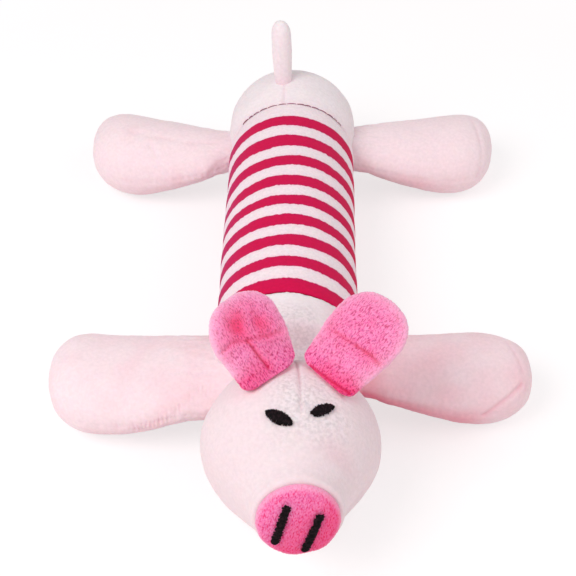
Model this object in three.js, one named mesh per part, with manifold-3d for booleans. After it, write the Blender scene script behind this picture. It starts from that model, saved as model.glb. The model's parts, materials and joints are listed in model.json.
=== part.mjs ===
// A squeaking plush pig for dogs, lying splayed on its belly.
// Millimetres, +Z up. The snout points along -Y, and the toy's own left is +X.
// Each form is a cloth cover, sewn from panels, around a loose fibre filling.

import * as THREE from 'three';
import { mergeVertices } from 'three/addons/utils/BufferGeometryUtils.js';
import Module from 'manifold-3d';

const wasm = await Module();
wasm.setup();
const radians = THREE.MathUtils.degToRad;

// Cloth and fits
const CLOTH = 1.6; // thickness of the plush cloth
const CLEARANCE = 0.3; // gap between neighbouring pieces
const FLOOR_FLAT = 0.5; // depth by which a resting form is pressed flat

// Torso
const SLEEVE_RADIUS = 29;
const SLEEVE_LENGTH = 131.5;
const SEAM_NIP = 0.8; // how far a round seam pulls the cloth in
const NIP_REACH = 9; // how far from its seam the pull dies out
const RUMP_STRAIGHT = 14.5;
const RUMP_DOME = 28;
const TORSO_ROLL = -7.5; // degrees, the spine falls towards the toy's right
const CHEST_STRAIGHT = 14;
const NECK_RADIUS = 21; // ball at the front of the chest that the head turns on
const NECK_REACH = 29; // from the front seam to the middle of that ball
const NECK_WRAP = 108; // degrees of the ball, from straight ahead, that the head rides over
const FLARE_EASE = 0.4; // share of the flare from neck to chest that leaves each end straight

// Head
const HEAD_RADIUS = 33.6;
const HEAD_REACH = 31; // from the neck ball to the middle of the head
const HEAD_YAW = 4.9; // degrees, towards the toy's left
const HEAD_PITCH = 12; // degrees, snout up
const HEAD_ROLL = 6; // degrees, crown towards the toy's left
const MUZZLE_START = 44; // degrees off the snout's axis where the muzzle leaves the ball
const MUZZLE_LENGTH = 38.5; // from the middle of the head to the muzzle's front edge
const MUZZLE_RADIUS = 16.6;
const MUZZLE_TAPER = 6; // degrees

// Snout and its nostrils
const SNOUT_RADIUS = 14.8;
const SNOUT_RIM = 1.8;
const SNOUT_DOME = 2.6;
const SNOUT_ROLL = 10; // extra turn of the snout beyond the head's, degrees
const NOSTRIL_SPACING = 11.7;
const NOSTRIL_DROP = 1.7;
const NOSTRIL_LENGTH = 17.4;
const NOSTRIL_WIDTH = 3.2;
const STITCH_HEIGHT = 1; // how far embroidery stands off the cloth

// Eyes
const EYE_LENGTH = 10.6;
const EYE_WIDTH = 4.4;
const EYE_SLANT = 35; // degrees, inner ends towards the snout

// Ears
const EAR_LEFT_LENGTH = 33.1; // from the hinge line to the tip
const EAR_RIGHT_LENGTH = 28.7;
const EAR_BASE_WIDTH = 25.7;
const EAR_BASE_THICKNESS = 5.4;
const EAR_WIDTH = 30.5;
const EAR_THICKNESS = 6.4;
const EAR_TIP_LENGTH = 15;

// Legs. Lengths run from the hinge line to the tip, and a set is measured from the seam
// that the leg is sewn beside to the middle of its root, towards the tail.
const LEG_HINGE_HEIGHT = 24;
const LEG_ROOT_WIDTH = 33;
const LEG_ROOT_THICKNESS = 16;
const TOE_LENGTH = 20;
const REAR_LENGTH = 60.8;
const REAR_FOOT_WIDTH = 44.8;
const REAR_FOOT_THICKNESS = 33;
const REAR_LEFT_SET = 9.6;
const REAR_RIGHT_SET = 5;
const FRONT_FOOT_THICKNESS = 31.6;
const FRONT_LEFT_SET = -7.6;
const FRONT_LEFT_LENGTH = 63;
const FRONT_LEFT_FOOT_WIDTH = 42;
const FRONT_RIGHT_SET = -15.6;
const FRONT_RIGHT_LENGTH = 56.2;
const FRONT_RIGHT_FOOT_WIDTH = 46.4;
const FRONT_RIGHT_ROOT_WIDTH = 45;
const FRONT_RIGHT_ROOT_THICKNESS = 22;

// Tail
const TAIL_LENGTH = 26; // from the hinge line to the tip
const TAIL_ROOT_WIDTH = 6.6;
const TAIL_WIDTH = 9.9;
const TAIL_TIP_LENGTH = 9;
const TAIL_SET = 17.5; // from the rear seam
const TAIL_LEAN = 75; // degrees up from straight back
const TAIL_SWAY = 4; // degrees, tip towards the toy's left

// Squeaker
const SQUEAKER_RADIUS = 18;
const SQUEAKER_PLATE = 1.6;
const BELLOWS_HEIGHT = 20;
const BELLOWS_FOLDS = 3;
const BELLOWS_DEPTH = 3.4;
const BELLOWS_WALL = 0.8;
const WHISTLE_RADIUS = 5;
const WHISTLE_BORE = 3.4;
const WHISTLE_LENGTH = 12;
const WHISTLE_SUNK = 6; // how much of the whistle stands inside the bellows
const REED_LENGTH = 9;
const REED_WIDTH = 4;
const REED_THICKNESS = 0.4;
const AIR_SLOT = 2; // width of the air slot that the reed lies over

// Roundness of the ends of limbs and rump: 2 is an ellipse, and more is squarer
const SQUARENESS = 2.4;

// Facets
const OUTER_SIDES = 24;
const INNER_SIDES = 14;
const LEG_SIDES = 14;
const LEG_INNER_SIDES = 10;
const EAR_SIDES = 16;
const TAIL_SIDES = 10;
const PLATE_SIDES = 20;
const BALL_SIDES = 20;
const SHANK_STEPS = 2; // rings between a limb's hinge line and its rounded tip
const HEEL_ANGLES = [20, 50]; // degrees around a limb's round root where rings lie
const TOE_ANGLES = [30, 55, 75]; // degrees around a limb's rounded tip where rings lie
const SEAM_STEPS = 4; // straight stretches of a limb's outline seam
const CUT = 600; // edge of the blocks that cut forms apart
const WELD = 1e-4; // points nearer than this are one

// The legs and ears are sewn and stuffed by hand, so each differs a little from its twin.

// Each leg splays towards the tail by a few degrees.
const LEGS = [
  {
    name: 'front_left', side: 1, splay: 5.9, seam: 'front', set: FRONT_LEFT_SET,
    length: FRONT_LEFT_LENGTH, footWidth: FRONT_LEFT_FOOT_WIDTH, footThickness: FRONT_FOOT_THICKNESS,
    rootWidth: LEG_ROOT_WIDTH, rootThickness: LEG_ROOT_THICKNESS,
  },
  {
    name: 'front_right', side: -1, splay: 9.5, seam: 'front', set: FRONT_RIGHT_SET,
    length: FRONT_RIGHT_LENGTH, footWidth: FRONT_RIGHT_FOOT_WIDTH, footThickness: FRONT_FOOT_THICKNESS,
    rootWidth: FRONT_RIGHT_ROOT_WIDTH, rootThickness: FRONT_RIGHT_ROOT_THICKNESS,
  },
  {
    name: 'rear_left', side: 1, splay: 11.5, seam: 'rear', set: REAR_LEFT_SET,
    length: REAR_LENGTH, footWidth: REAR_FOOT_WIDTH, footThickness: REAR_FOOT_THICKNESS,
    rootWidth: LEG_ROOT_WIDTH, rootThickness: LEG_ROOT_THICKNESS,
  },
  {
    name: 'rear_right', side: -1, splay: 13.2, seam: 'rear', set: REAR_RIGHT_SET,
    length: REAR_LENGTH, footWidth: REAR_FOOT_WIDTH, footThickness: REAR_FOOT_THICKNESS,
    rootWidth: LEG_ROOT_WIDTH, rootThickness: LEG_ROOT_THICKNESS,
  },
];

// Each ear: how far it leans back from upright, how far it splays towards its outer end,
// and where the ends of its base lie on the head. Polar is measured from the snout's axis,
// and clock from the crown towards the toy's left.
const EARS = [
  {
    name: 'left', side: 1, length: EAR_LEFT_LENGTH, lean: 21, splay: 4.6,
    outer: { polar: 78.6, clock: 31.3 }, inner: { polar: 105.9, clock: 6 },
  },
  {
    name: 'right', side: -1, length: EAR_RIGHT_LENGTH, lean: 29.5, splay: -2.8,
    outer: { polar: 81.6, clock: -32.5 }, inner: { polar: 103.9, clock: -3.4 },
  },
];

const EYES = [
  { name: 'left', side: 1, place: { polar: 63, clock: 14.5 } },
  { name: 'right', side: -1, place: { polar: 57.2, clock: -16 } },
];

const axisHeight = SLEEVE_RADIUS - FLOOR_FLAT;
const frontSeam = -SLEEVE_LENGTH / 2;
const rearSeam = SLEEVE_LENGTH / 2;
const neckPlace = frontSeam - NECK_REACH;
const halfGap = CLEARANCE / 2;
const fillingInset = CLOTH + CLEARANCE;

const cloth = (color) => ({ color, roughness: 0.95, metalness: 0 });
const PALE_PLUSH = cloth(0xf8e0e5);
const BRIGHT_TERRY = cloth(0xf57ab1);
const STRIPED_KNIT = cloth(0xcc2a53);
const BLACK_THREAD = { color: 0x191718, roughness: 0.6, metalness: 0 };
const FIBRE = { color: 0xf4f2ee, roughness: 1, metalness: 0 };
const SQUEAKER_PLASTIC = { color: 0xf1efe6, roughness: 0.4, metalness: 0 };

// Solids

function signedVolume(positions, triangles) {
  let total = 0;
  const corner = [new THREE.Vector3(), new THREE.Vector3(), new THREE.Vector3()];
  for (let start = 0; start < triangles.length; start += 3) {
    corner.forEach((point, k) => point.fromArray(positions, 3 * triangles[start + k]));
    total += corner[0].dot(corner[1].clone().cross(corner[2])) / 6;
  }
  return total;
}

function turnedOut(positions, triangles) {
  if (signedVolume(positions, triangles) > 0) return triangles;
  return triangles.slice().reverse();
}

function solidOf(geometry) {
  geometry.deleteAttribute('normal');
  geometry.deleteAttribute('uv');
  const merged = mergeVertices(geometry, WELD);
  const vertProperties = new Float32Array(merged.attributes.position.array);
  const wholeTriangles = [];
  const index = merged.index.array;
  for (let start = 0; start < index.length; start += 3) {
    const [a, b, c] = index.slice(start, start + 3);
    if (a !== b && b !== c && c !== a) wholeTriangles.push(a, b, c);
  }
  const triVerts = turnedOut(vertProperties, new Uint32Array(wholeTriangles));
  return new wasm.Manifold(new wasm.Mesh({ numProp: 3, vertProperties, triVerts }));
}

function geometryOf(solid) {
  const mesh = solid.getMesh();
  const geometry = new THREE.BufferGeometry();
  geometry.setAttribute('position', new THREE.BufferAttribute(mesh.vertProperties, 3));
  geometry.setIndex(new THREE.BufferAttribute(mesh.triVerts, 1));
  geometry.computeVertexNormals();
  return geometry;
}

function addPiece(group, name, look, solid) {
  const piece = new THREE.Mesh(geometryOf(solid), new THREE.MeshStandardMaterial(look));
  piece.name = name;
  group.add(piece);
}

function block(low, high) {
  const size = high.clone().sub(low);
  const geometry = new THREE.BoxGeometry(size.x, size.y, size.z);
  const middle = low.clone().add(high).divideScalar(2);
  geometry.translate(middle.x, middle.y, middle.z);
  return solidOf(geometry);
}

// The half of space beyond a distance along one axis, in the given direction.
function halfSpace(axis, from, direction) {
  const low = new THREE.Vector3(-CUT / 2, -CUT / 2, -CUT / 2);
  const high = new THREE.Vector3(CUT / 2, CUT / 2, CUT / 2);
  if (direction > 0) low[axis] = from;
  else high[axis] = from;
  return block(low, high);
}

// A geometry given in one group's frame, as a solid in another's.
function seenFrom(group, owner, geometry) {
  const step = group.matrixWorld.clone().invert().multiply(owner.matrixWorld);
  return solidOf(geometry.applyMatrix4(step));
}

function floorSeenFrom(group, toy) {
  const geometry = new THREE.BoxGeometry(CUT, CUT, CUT);
  geometry.translate(0, 0, -CUT / 2);
  return seenFrom(group, toy, geometry);
}

function revolved(profile, sides) {
  return solidOf(new THREE.LatheGeometry(profile, sides));
}

function standingCylinder(radius, low, high) {
  const geometry = new THREE.CylinderGeometry(radius, radius, high - low, PLATE_SIDES);
  geometry.rotateX(Math.PI / 2);
  geometry.translate(0, 0, (low + high) / 2);
  return geometry;
}

function cylinder(radius, low, high) {
  return solidOf(standingCylinder(radius, low, high));
}

// A closed skin over rings of points, with a fan from a pole at each end.
function lofted(firstPole, rings, lastPole) {
  const sides = rings[0].length;
  const points = [firstPole, ...rings.flat(), lastPole];
  const last = points.length - 1;
  const triangles = [];
  for (let side = 0; side < sides; side += 1) {
    const next = (side + 1) % sides;
    triangles.push(0, 1 + next, 1 + side);
    rings.slice(1).forEach((_, ring) => {
      const here = 1 + ring * sides;
      const there = here + sides;
      triangles.push(here + side, here + next, there + side);
      triangles.push(here + next, there + next, there + side);
    });
    const end = 1 + (rings.length - 1) * sides;
    triangles.push(end + side, end + next, last);
  }
  const geometry = new THREE.BufferGeometry().setFromPoints(points);
  geometry.setIndex(triangles);
  return solidOf(geometry);
}

// Sine and cosine raised so that they trace a rounded end of the given squareness.
function roundEnd(angle, squareness) {
  const power = 2 / squareness;
  const raise = (value) => Math.sign(value) * Math.abs(value) ** power;
  return { out: raise(Math.sin(angle)), ahead: raise(Math.cos(angle)) };
}

// Points on an arc about a centre on the Y axis, as radius and place along the axis.
// Angles run from straight ahead, along -Y.
function arc(centre, radius, reach, from, to, steps, squareness = 2) {
  const points = [];
  for (let step = 0; step <= steps; step += 1) {
    const turn = roundEnd(radians(from + ((to - from) * step) / steps), squareness);
    points.push(new THREE.Vector2(radius * turn.out, centre - reach * turn.ahead));
  }
  return points;
}

// Torso

function nipAt(place) {
  const nearest = Math.min(Math.abs(place - frontSeam), Math.abs(place - rearSeam));
  const slack = Math.max(0, 1 - nearest / NIP_REACH);
  return SEAM_NIP * slack * slack;
}

// The neck's ball, a flare out to the chest, the swelling sleeve and the rump's dome.
function torsoProfile(inset) {
  const radius = SLEEVE_RADIUS - inset;
  const ball = NECK_RADIUS - inset;
  const neck = arc(neckPlace, ball, ball, 0, NECK_WRAP, 6);
  const chestStart = new THREE.Vector2(radius, frontSeam - CHEST_STRAIGHT + inset / 2);
  const flareStart = neck[neck.length - 1];
  const flareLength = chestStart.y - flareStart.y;
  const flare = new THREE.CubicBezierCurve(
    flareStart,
    new THREE.Vector2(flareStart.x, flareStart.y + flareLength * FLARE_EASE),
    new THREE.Vector2(radius, chestStart.y - flareLength * FLARE_EASE),
    chestStart,
  ).getPoints(3);
  const tubePlaces = [frontSeam - NIP_REACH / 2, frontSeam, frontSeam + NIP_REACH / 2, frontSeam + NIP_REACH];
  tubePlaces.push(rearSeam - NIP_REACH, rearSeam - NIP_REACH / 2, rearSeam, rearSeam + NIP_REACH / 2);
  const tube = tubePlaces.map((place) => new THREE.Vector2(radius - nipAt(place), place));
  const dome = arc(rearSeam + RUMP_STRAIGHT, radius, RUMP_DOME - inset, 90, 180, 6, SQUARENESS);
  return closedOnAxis([...neck, ...flare.slice(1), ...tube, ...dome]);
}

function closedOnAxis(profile) {
  profile[0].x = 0;
  profile[profile.length - 1].x = 0;
  return profile;
}

function addTorsoCovers(torso, floor) {
  const outer = revolved(torsoProfile(0), OUTER_SIDES);
  const inner = revolved(torsoProfile(CLOTH), INNER_SIDES);
  const cover = outer.subtract(inner).subtract(floor);
  const chest = cover.intersect(halfSpace('y', frontSeam - halfGap, -1));
  const rump = cover.intersect(halfSpace('y', rearSeam + halfGap, 1));
  const behindFront = cover.intersect(halfSpace('y', frontSeam + halfGap, 1));
  const sleeve = behindFront.intersect(halfSpace('y', rearSeam - halfGap, -1));
  addPiece(torso, 'chest_panel', PALE_PLUSH, chest);
  addPiece(torso, 'striped_sleeve', STRIPED_KNIT, sleeve);
  addPiece(torso, 'rump_panel_left', PALE_PLUSH, rump.intersect(halfSpace('x', halfGap, 1)));
  addPiece(torso, 'rump_panel_right', PALE_PLUSH, rump.intersect(halfSpace('x', -halfGap, -1)));
}

function addTorsoFilling(torso, squeaker) {
  const whole = revolved(torsoProfile(fillingInset), INNER_SIDES);
  const filling = whole.subtract(pocketSeenFrom(torso, squeaker));
  const front = filling.intersect(halfSpace('y', -halfGap, -1));
  const rear = filling.intersect(halfSpace('y', halfGap, 1));
  addPiece(torso, 'torso_filling_front', FIBRE, front);
  addPiece(torso, 'torso_filling_rear', FIBRE, rear);
}

// Squeaker, standing upright in the middle of the torso

const bellowsBottom = -BELLOWS_HEIGHT / 2;
const bellowsTop = BELLOWS_HEIGHT / 2;
const baseTop = bellowsBottom - CLEARANCE;
const baseBottom = baseTop - SQUEAKER_PLATE;
const capBottom = bellowsTop + CLEARANCE;
const capTop = capBottom + SQUEAKER_PLATE;
const whistleTop = baseTop + WHISTLE_SUNK;
const whistleBottom = whistleTop - WHISTLE_LENGTH;

// The hollow in the filling that holds the squeaker and its whistle.
function pocketSeenFrom(torso, squeaker) {
  const hall = standingCylinder(SQUEAKER_RADIUS + CLEARANCE, baseBottom - CLEARANCE, capTop + CLEARANCE);
  const well = standingCylinder(WHISTLE_RADIUS + CLEARANCE, whistleBottom - CLEARANCE, baseTop);
  return seenFrom(torso, squeaker, hall).add(seenFrom(torso, squeaker, well));
}

// The folds run out and in up the outside and come back down one wall further in.
function bellowsProfile() {
  const outside = [];
  for (let step = 0; step <= 2 * BELLOWS_FOLDS; step += 1) {
    const place = bellowsBottom + (BELLOWS_HEIGHT * step) / (2 * BELLOWS_FOLDS);
    const drawnIn = step % 2 === 0 ? BELLOWS_DEPTH : 0;
    outside.push(new THREE.Vector2(SQUEAKER_RADIUS - drawnIn, place));
  }
  const inside = outside.map((point) => new THREE.Vector2(point.x - 2 * BELLOWS_WALL, point.y)).reverse();
  return [...outside, ...inside, outside[0].clone()];
}

function bellows() {
  const geometry = new THREE.LatheGeometry(bellowsProfile(), PLATE_SIDES);
  geometry.rotateX(Math.PI / 2);
  return solidOf(geometry);
}

// A tube half filled by a flat rest with an air slot, which the reed lies over.
function whistle() {
  const body = cylinder(WHISTLE_RADIUS, whistleBottom, whistleTop);
  const bore = cylinder(WHISTLE_BORE, whistleBottom - CLEARANCE, whistleTop + CLEARANCE);
  const slotDeep = new THREE.Vector3(-WHISTLE_BORE / 2, -AIR_SLOT / 2, whistleBottom + REED_LENGTH / 4);
  const slotHigh = new THREE.Vector3(CLEARANCE, AIR_SLOT / 2, whistleTop + CLEARANCE);
  return body.subtract(bore.intersect(halfSpace('x', 0, 1))).subtract(block(slotDeep, slotHigh));
}

function reed() {
  const low = new THREE.Vector3(CLEARANCE, -REED_WIDTH / 2, whistleBottom);
  const high = new THREE.Vector3(CLEARANCE + REED_THICKNESS, REED_WIDTH / 2, whistleBottom + REED_LENGTH);
  return block(low, high);
}

function addSqueaker(squeaker) {
  const plate = cylinder(SQUEAKER_RADIUS, baseBottom, baseTop);
  const hole = cylinder(WHISTLE_RADIUS + CLEARANCE, baseBottom - CLEARANCE, baseTop + CLEARANCE);
  addPiece(squeaker, 'squeaker_base', SQUEAKER_PLASTIC, plate.subtract(hole));
  addPiece(squeaker, 'squeaker_bellows', SQUEAKER_PLASTIC, bellows());
  const cap = cylinder(SQUEAKER_RADIUS, capBottom, capTop);
  addPiece(squeaker, 'squeaker_cap', SQUEAKER_PLASTIC, cap);
  addPiece(squeaker, 'squeaker_whistle', SQUEAKER_PLASTIC, whistle());
  addPiece(squeaker, 'squeaker_reed', SQUEAKER_PLASTIC, reed());
}

// Head

// Half outline of the ball and muzzle, from the nape to the front edge of the muzzle.
function headProfile(inset, front) {
  const ball = HEAD_RADIUS - inset;
  const muzzle = MUZZLE_RADIUS - inset;
  const back = arc(0, ball, ball, 180, MUZZLE_START, 9);
  const leave = back[back.length - 1];
  const fall = 1 / Math.tan(radians(MUZZLE_START));
  const taper = Math.tan(radians(MUZZLE_TAPER));
  const run = (leave.x - muzzle - taper * (MUZZLE_LENGTH + leave.y)) / (fall - taper);
  const bend = new THREE.Vector2(leave.x - run * fall, leave.y - run);
  const edge = new THREE.Vector2(muzzle, -MUZZLE_LENGTH);
  const blend = new THREE.QuadraticBezierCurve(leave, bend, edge).getPoints(4);
  const mouth = [new THREE.Vector2(muzzle, -front), new THREE.Vector2(0, -front)];
  return closedOnAxis([...back, ...blend.slice(1), ...mouth]);
}

function headSolid(inset, front, sides) {
  return revolved(headProfile(inset, front), sides);
}

// The neck's ball with its clearance, seen from inside the head.
function neckSocket(head, neck) {
  const flatness = Math.cos(Math.PI / BALL_SIDES);
  const geometry = new THREE.SphereGeometry((NECK_RADIUS + CLEARANCE) / flatness, BALL_SIDES, BALL_SIDES / 2);
  return seenFrom(head, neck, geometry);
}

function addHeadCovers(head, neck, floor) {
  const socket = neckSocket(head, neck);
  const outer = headSolid(0, MUZZLE_LENGTH, OUTER_SIDES);
  const inner = headSolid(CLOTH, MUZZLE_LENGTH + CLOTH, INNER_SIDES);
  const cover = outer.subtract(inner).subtract(socket).subtract(floor);
  addPiece(head, 'head_panel_left', PALE_PLUSH, cover.intersect(halfSpace('x', halfGap, 1)));
  addPiece(head, 'head_panel_right', PALE_PLUSH, cover.intersect(halfSpace('x', -halfGap, -1)));
  const filling = headSolid(fillingInset, MUZZLE_LENGTH, INNER_SIDES).subtract(socket);
  addPiece(head, 'head_filling', FIBRE, filling);
}

function onHead(place) {
  const polar = radians(place.polar);
  const clock = radians(place.clock);
  const sideways = Math.sin(polar);
  return new THREE.Vector3(sideways * Math.sin(clock), -Math.cos(polar), sideways * Math.cos(clock));
}

// A patch of embroidery: the part of a prism that lies just above its carrier.
function patch(prism, carrier, up) {
  const foot = up.clone().multiplyScalar(CLEARANCE);
  const crest = up.clone().multiplyScalar(CLEARANCE + STITCH_HEIGHT);
  const below = carrier.translate(foot.x, foot.y, foot.z);
  const above = carrier.translate(crest.x, crest.y, crest.z);
  return prism.intersect(above).subtract(below);
}

// A pointed oval between two equal arcs.
function ovalShape(length, width) {
  const radius = (length * length + width * width) / (4 * width);
  const half = Math.asin(length / (2 * radius));
  const shape = new THREE.Shape();
  shape.absarc(0, width / 2 - radius, radius, Math.PI / 2 + half, Math.PI / 2 - half, true);
  shape.absarc(0, radius - width / 2, radius, 1.5 * Math.PI + half, 1.5 * Math.PI - half, true);
  return shape;
}

function barShape(length, width) {
  const radius = width / 2;
  const straight = length / 2 - radius;
  const shape = new THREE.Shape();
  shape.absarc(0, straight, radius, 0, Math.PI, false);
  shape.absarc(0, -straight, radius, Math.PI, 2 * Math.PI, false);
  return shape;
}

function prismOf(shape, depth, curveSegments) {
  return new THREE.ExtrudeGeometry(shape, { depth, bevelEnabled: false, curveSegments });
}

function addEyes(head) {
  const carrier = headSolid(0, MUZZLE_LENGTH, OUTER_SIDES);
  EYES.forEach((eye) => {
    const up = onHead(eye.place);
    const geometry = prismOf(ovalShape(EYE_LENGTH, EYE_WIDTH), HEAD_RADIUS, 4);
    geometry.rotateZ(radians(eye.side * EYE_SLANT));
    geometry.rotateX(radians(90 - eye.place.polar));
    geometry.rotateY(radians(eye.place.clock));
    geometry.translate(up.x * HEAD_RADIUS / 2, up.y * HEAD_RADIUS / 2, up.z * HEAD_RADIUS / 2);
    addPiece(head, `eye_${eye.name}`, BLACK_THREAD, patch(solidOf(geometry), carrier, up));
  });
}

function snoutProfile() {
  const back = -(MUZZLE_LENGTH + CLEARANCE);
  const dome = arc(back - SNOUT_RIM, SNOUT_RADIUS, SNOUT_DOME, 90, 0, 6);
  return closedOnAxis([new THREE.Vector2(0, back), new THREE.Vector2(SNOUT_RADIUS, back), ...dome]);
}

function addSnout(snout) {
  const disc = revolved(snoutProfile(), PLATE_SIDES);
  addPiece(snout, 'snout_disc', BRIGHT_TERRY, disc);
  const ahead = new THREE.Vector3(0, -1, 0);
  [{ name: 'left', side: 1 }, { name: 'right', side: -1 }].forEach((nostril) => {
    const geometry = prismOf(barShape(NOSTRIL_LENGTH, NOSTRIL_WIDTH), SNOUT_RADIUS, 4);
    geometry.rotateX(Math.PI / 2);
    geometry.translate((nostril.side * NOSTRIL_SPACING) / 2, -MUZZLE_LENGTH, -NOSTRIL_DROP);
    addPiece(snout, `nostril_${nostril.name}`, BLACK_THREAD, patch(solidOf(geometry), disc, ahead));
  });
}

// Limbs: legs, ears and tail share one form. In its own frame a limb's hinge lies along Y
// through the origin, and the limb runs along X, wide in Y and thick in Z.

// Nearly straight growth that levels out where the limb is widest.
function growth(share) {
  return (5 * share - share ** 5) / 4;
}

function limbCentre(form, along) {
  const straight = form.length - form.tipLength;
  return -form.drop * growth(Math.min(1, Math.max(0, along / straight)));
}

// Half width and half thickness at a distance along the limb.
function limbHalves(form, along, inset) {
  const straight = form.length - form.tipLength;
  const grown = growth(Math.min(1, Math.max(0, along / straight)));
  const past = Math.max(0, (along - straight) / (form.tipLength - inset));
  const rounding = Math.max(0, 1 - past ** SQUARENESS) ** (1 / SQUARENESS);
  const root = form.rootThickness / 2 - inset;
  const width = THREE.MathUtils.lerp(form.rootWidth, form.width, grown) / 2 - inset;
  const thickness = THREE.MathUtils.lerp(form.rootThickness, form.thickness, grown) / 2 - inset;
  const heel = along < 0 ? Math.sqrt(Math.max(0, 1 - (along / root) ** 2)) : 1;
  return { width: width * rounding, thickness: thickness * rounding * heel };
}

function limbPlaces(form, inset) {
  const root = form.rootThickness / 2 - inset;
  const straight = form.length - form.tipLength;
  const heel = HEEL_ANGLES.map((angle) => -root * Math.cos(radians(angle)));
  const shank = [];
  for (let step = 0; step <= SHANK_STEPS; step += 1) shank.push((straight * step) / SHANK_STEPS);
  const tip = form.tipLength - inset;
  const toe = TOE_ANGLES.map((angle) => straight + tip * roundEnd(radians(angle), SQUARENESS).out);
  return [...heel, ...shank, ...toe];
}

function limbRing(form, along, inset) {
  const half = limbHalves(form, along, inset);
  const points = [];
  for (let side = 0; side < form.sides; side += 1) {
    const angle = (2 * Math.PI * side) / form.sides;
    const across = form.shear * along + half.width * Math.cos(angle);
    const up = limbCentre(form, along) + half.thickness * Math.sin(angle);
    points.push(new THREE.Vector3(along, across, up));
  }
  return points;
}

function limbPole(form, along) {
  return new THREE.Vector3(along, form.shear * along, limbCentre(form, along));
}

function limbSolid(form, inset) {
  const places = limbPlaces(form, inset);
  const rings = places.map((along) => limbRing(form, along, inset));
  return lofted(limbPole(form, places[0]), rings, limbPole(form, form.length - inset));
}

// Everything on one side of the limb's outline seam.
function seamSide(form, direction) {
  const straight = form.length - form.tipLength;
  const seam = [-CUT / 4];
  for (let step = 0; step <= SEAM_STEPS; step += 1) seam.push((straight * step) / SEAM_STEPS);
  seam.push(CUT / 4);
  const shape = new THREE.Shape();
  shape.moveTo(-CUT / 4, (direction * CUT) / 4);
  seam.forEach((along) => shape.lineTo(along, limbCentre(form, along) + direction * halfGap));
  shape.lineTo(CUT / 4, (direction * CUT) / 4);
  const geometry = new THREE.ExtrudeGeometry(shape, { depth: CUT / 2, bevelEnabled: false });
  geometry.translate(0, 0, -CUT / 4);
  geometry.rotateX(Math.PI / 2);
  return solidOf(geometry);
}

function legForm(leg) {
  return {
    length: leg.length,
    rootWidth: leg.rootWidth,
    rootThickness: leg.rootThickness,
    width: leg.footWidth,
    thickness: leg.footThickness,
    tipLength: TOE_LENGTH,
    drop: LEG_HINGE_HEIGHT - (leg.footThickness / 2 - FLOOR_FLAT),
    shear: leg.side * Math.tan(radians(leg.splay)),
    sides: LEG_SIDES,
  };
}

function addLeg(group, leg, floor) {
  const form = legForm(leg);
  const inner = { ...form, sides: LEG_INNER_SIDES };
  const cover = limbSolid(form, 0).subtract(limbSolid(inner, CLOTH)).subtract(floor);
  addPiece(group, `leg_${leg.name}_upper_panel`, PALE_PLUSH, cover.intersect(seamSide(form, 1)));
  addPiece(group, `leg_${leg.name}_lower_panel`, PALE_PLUSH, cover.intersect(seamSide(form, -1)));
  addPiece(group, `leg_${leg.name}_filling`, FIBRE, limbSolid(inner, fillingInset));
}

function earForm(ear) {
  return {
    length: ear.length,
    rootWidth: EAR_BASE_WIDTH,
    rootThickness: EAR_BASE_THICKNESS,
    width: EAR_WIDTH,
    thickness: EAR_THICKNESS,
    tipLength: EAR_TIP_LENGTH,
    drop: 0,
    shear: ear.side * Math.tan(radians(ear.splay)),
    sides: EAR_SIDES,
  };
}

function addEar(group, ear) {
  const solid = limbSolid(earForm(ear), 0);
  addPiece(group, `ear_${ear.name}_front_panel`, BRIGHT_TERRY, solid.intersect(halfSpace('z', -halfGap, -1)));
  addPiece(group, `ear_${ear.name}_back_panel`, BRIGHT_TERRY, solid.intersect(halfSpace('z', halfGap, 1)));
}

const TAIL_FORM = {
  length: TAIL_LENGTH,
  rootWidth: TAIL_ROOT_WIDTH,
  rootThickness: TAIL_ROOT_WIDTH,
  width: TAIL_WIDTH,
  thickness: TAIL_WIDTH,
  tipLength: TAIL_TIP_LENGTH,
  drop: 0,
  shear: 0,
  sides: TAIL_SIDES,
};

// The tail's cover is a turned tube, so its hollow runs out through the root.
function addTail(group) {
  const hollow = limbSolid(TAIL_FORM, CLOTH);
  const opening = hollow.add(hollow.translate(-2 * CLOTH, 0, 0));
  addPiece(group, 'tail_cover', PALE_PLUSH, limbSolid(TAIL_FORM, 0).subtract(opening));
  addPiece(group, 'tail_filling', FIBRE, limbSolid(TAIL_FORM, fillingInset));
}

// Places

function groupIn(parent, name, position) {
  const group = new THREE.Group();
  group.name = name;
  group.position.copy(position);
  parent.add(group);
  return group;
}

// Turns a group so that its X runs along the limb and its Y along the hinge.
function aim(group, along, hinge) {
  const across = new THREE.Vector3().crossVectors(along, hinge);
  group.quaternion.setFromRotationMatrix(new THREE.Matrix4().makeBasis(along, hinge, across));
}

function placeLeg(toy, leg) {
  const outOfTorso = SLEEVE_RADIUS + CLEARANCE + leg.rootThickness / 2;
  const away = Math.sqrt(outOfTorso ** 2 - (LEG_HINGE_HEIGHT - axisHeight) ** 2);
  const seam = leg.seam === 'front' ? frontSeam : rearSeam;
  const place = new THREE.Vector3(leg.side * away, seam + leg.set, LEG_HINGE_HEIGHT);
  const group = groupIn(toy, `leg_${leg.name}`, place);
  if (leg.side < 0) group.rotation.z = Math.PI;
  return group;
}

function placeEar(head, ear) {
  const outer = onHead(ear.outer);
  const inner = onHead(ear.inner);
  const upright = outer.clone().add(inner).normalize();
  const hinge = outer.clone().sub(inner).normalize();
  if (hinge.x < 0) hinge.negate();
  const along = upright.clone().applyAxisAngle(hinge, radians(-ear.lean));
  const outOfHead = HEAD_RADIUS + CLEARANCE + EAR_BASE_THICKNESS / 2;
  const group = groupIn(head, `ear_${ear.name}`, upright.multiplyScalar(outOfHead));
  aim(group, along, hinge);
  return group;
}

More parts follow.
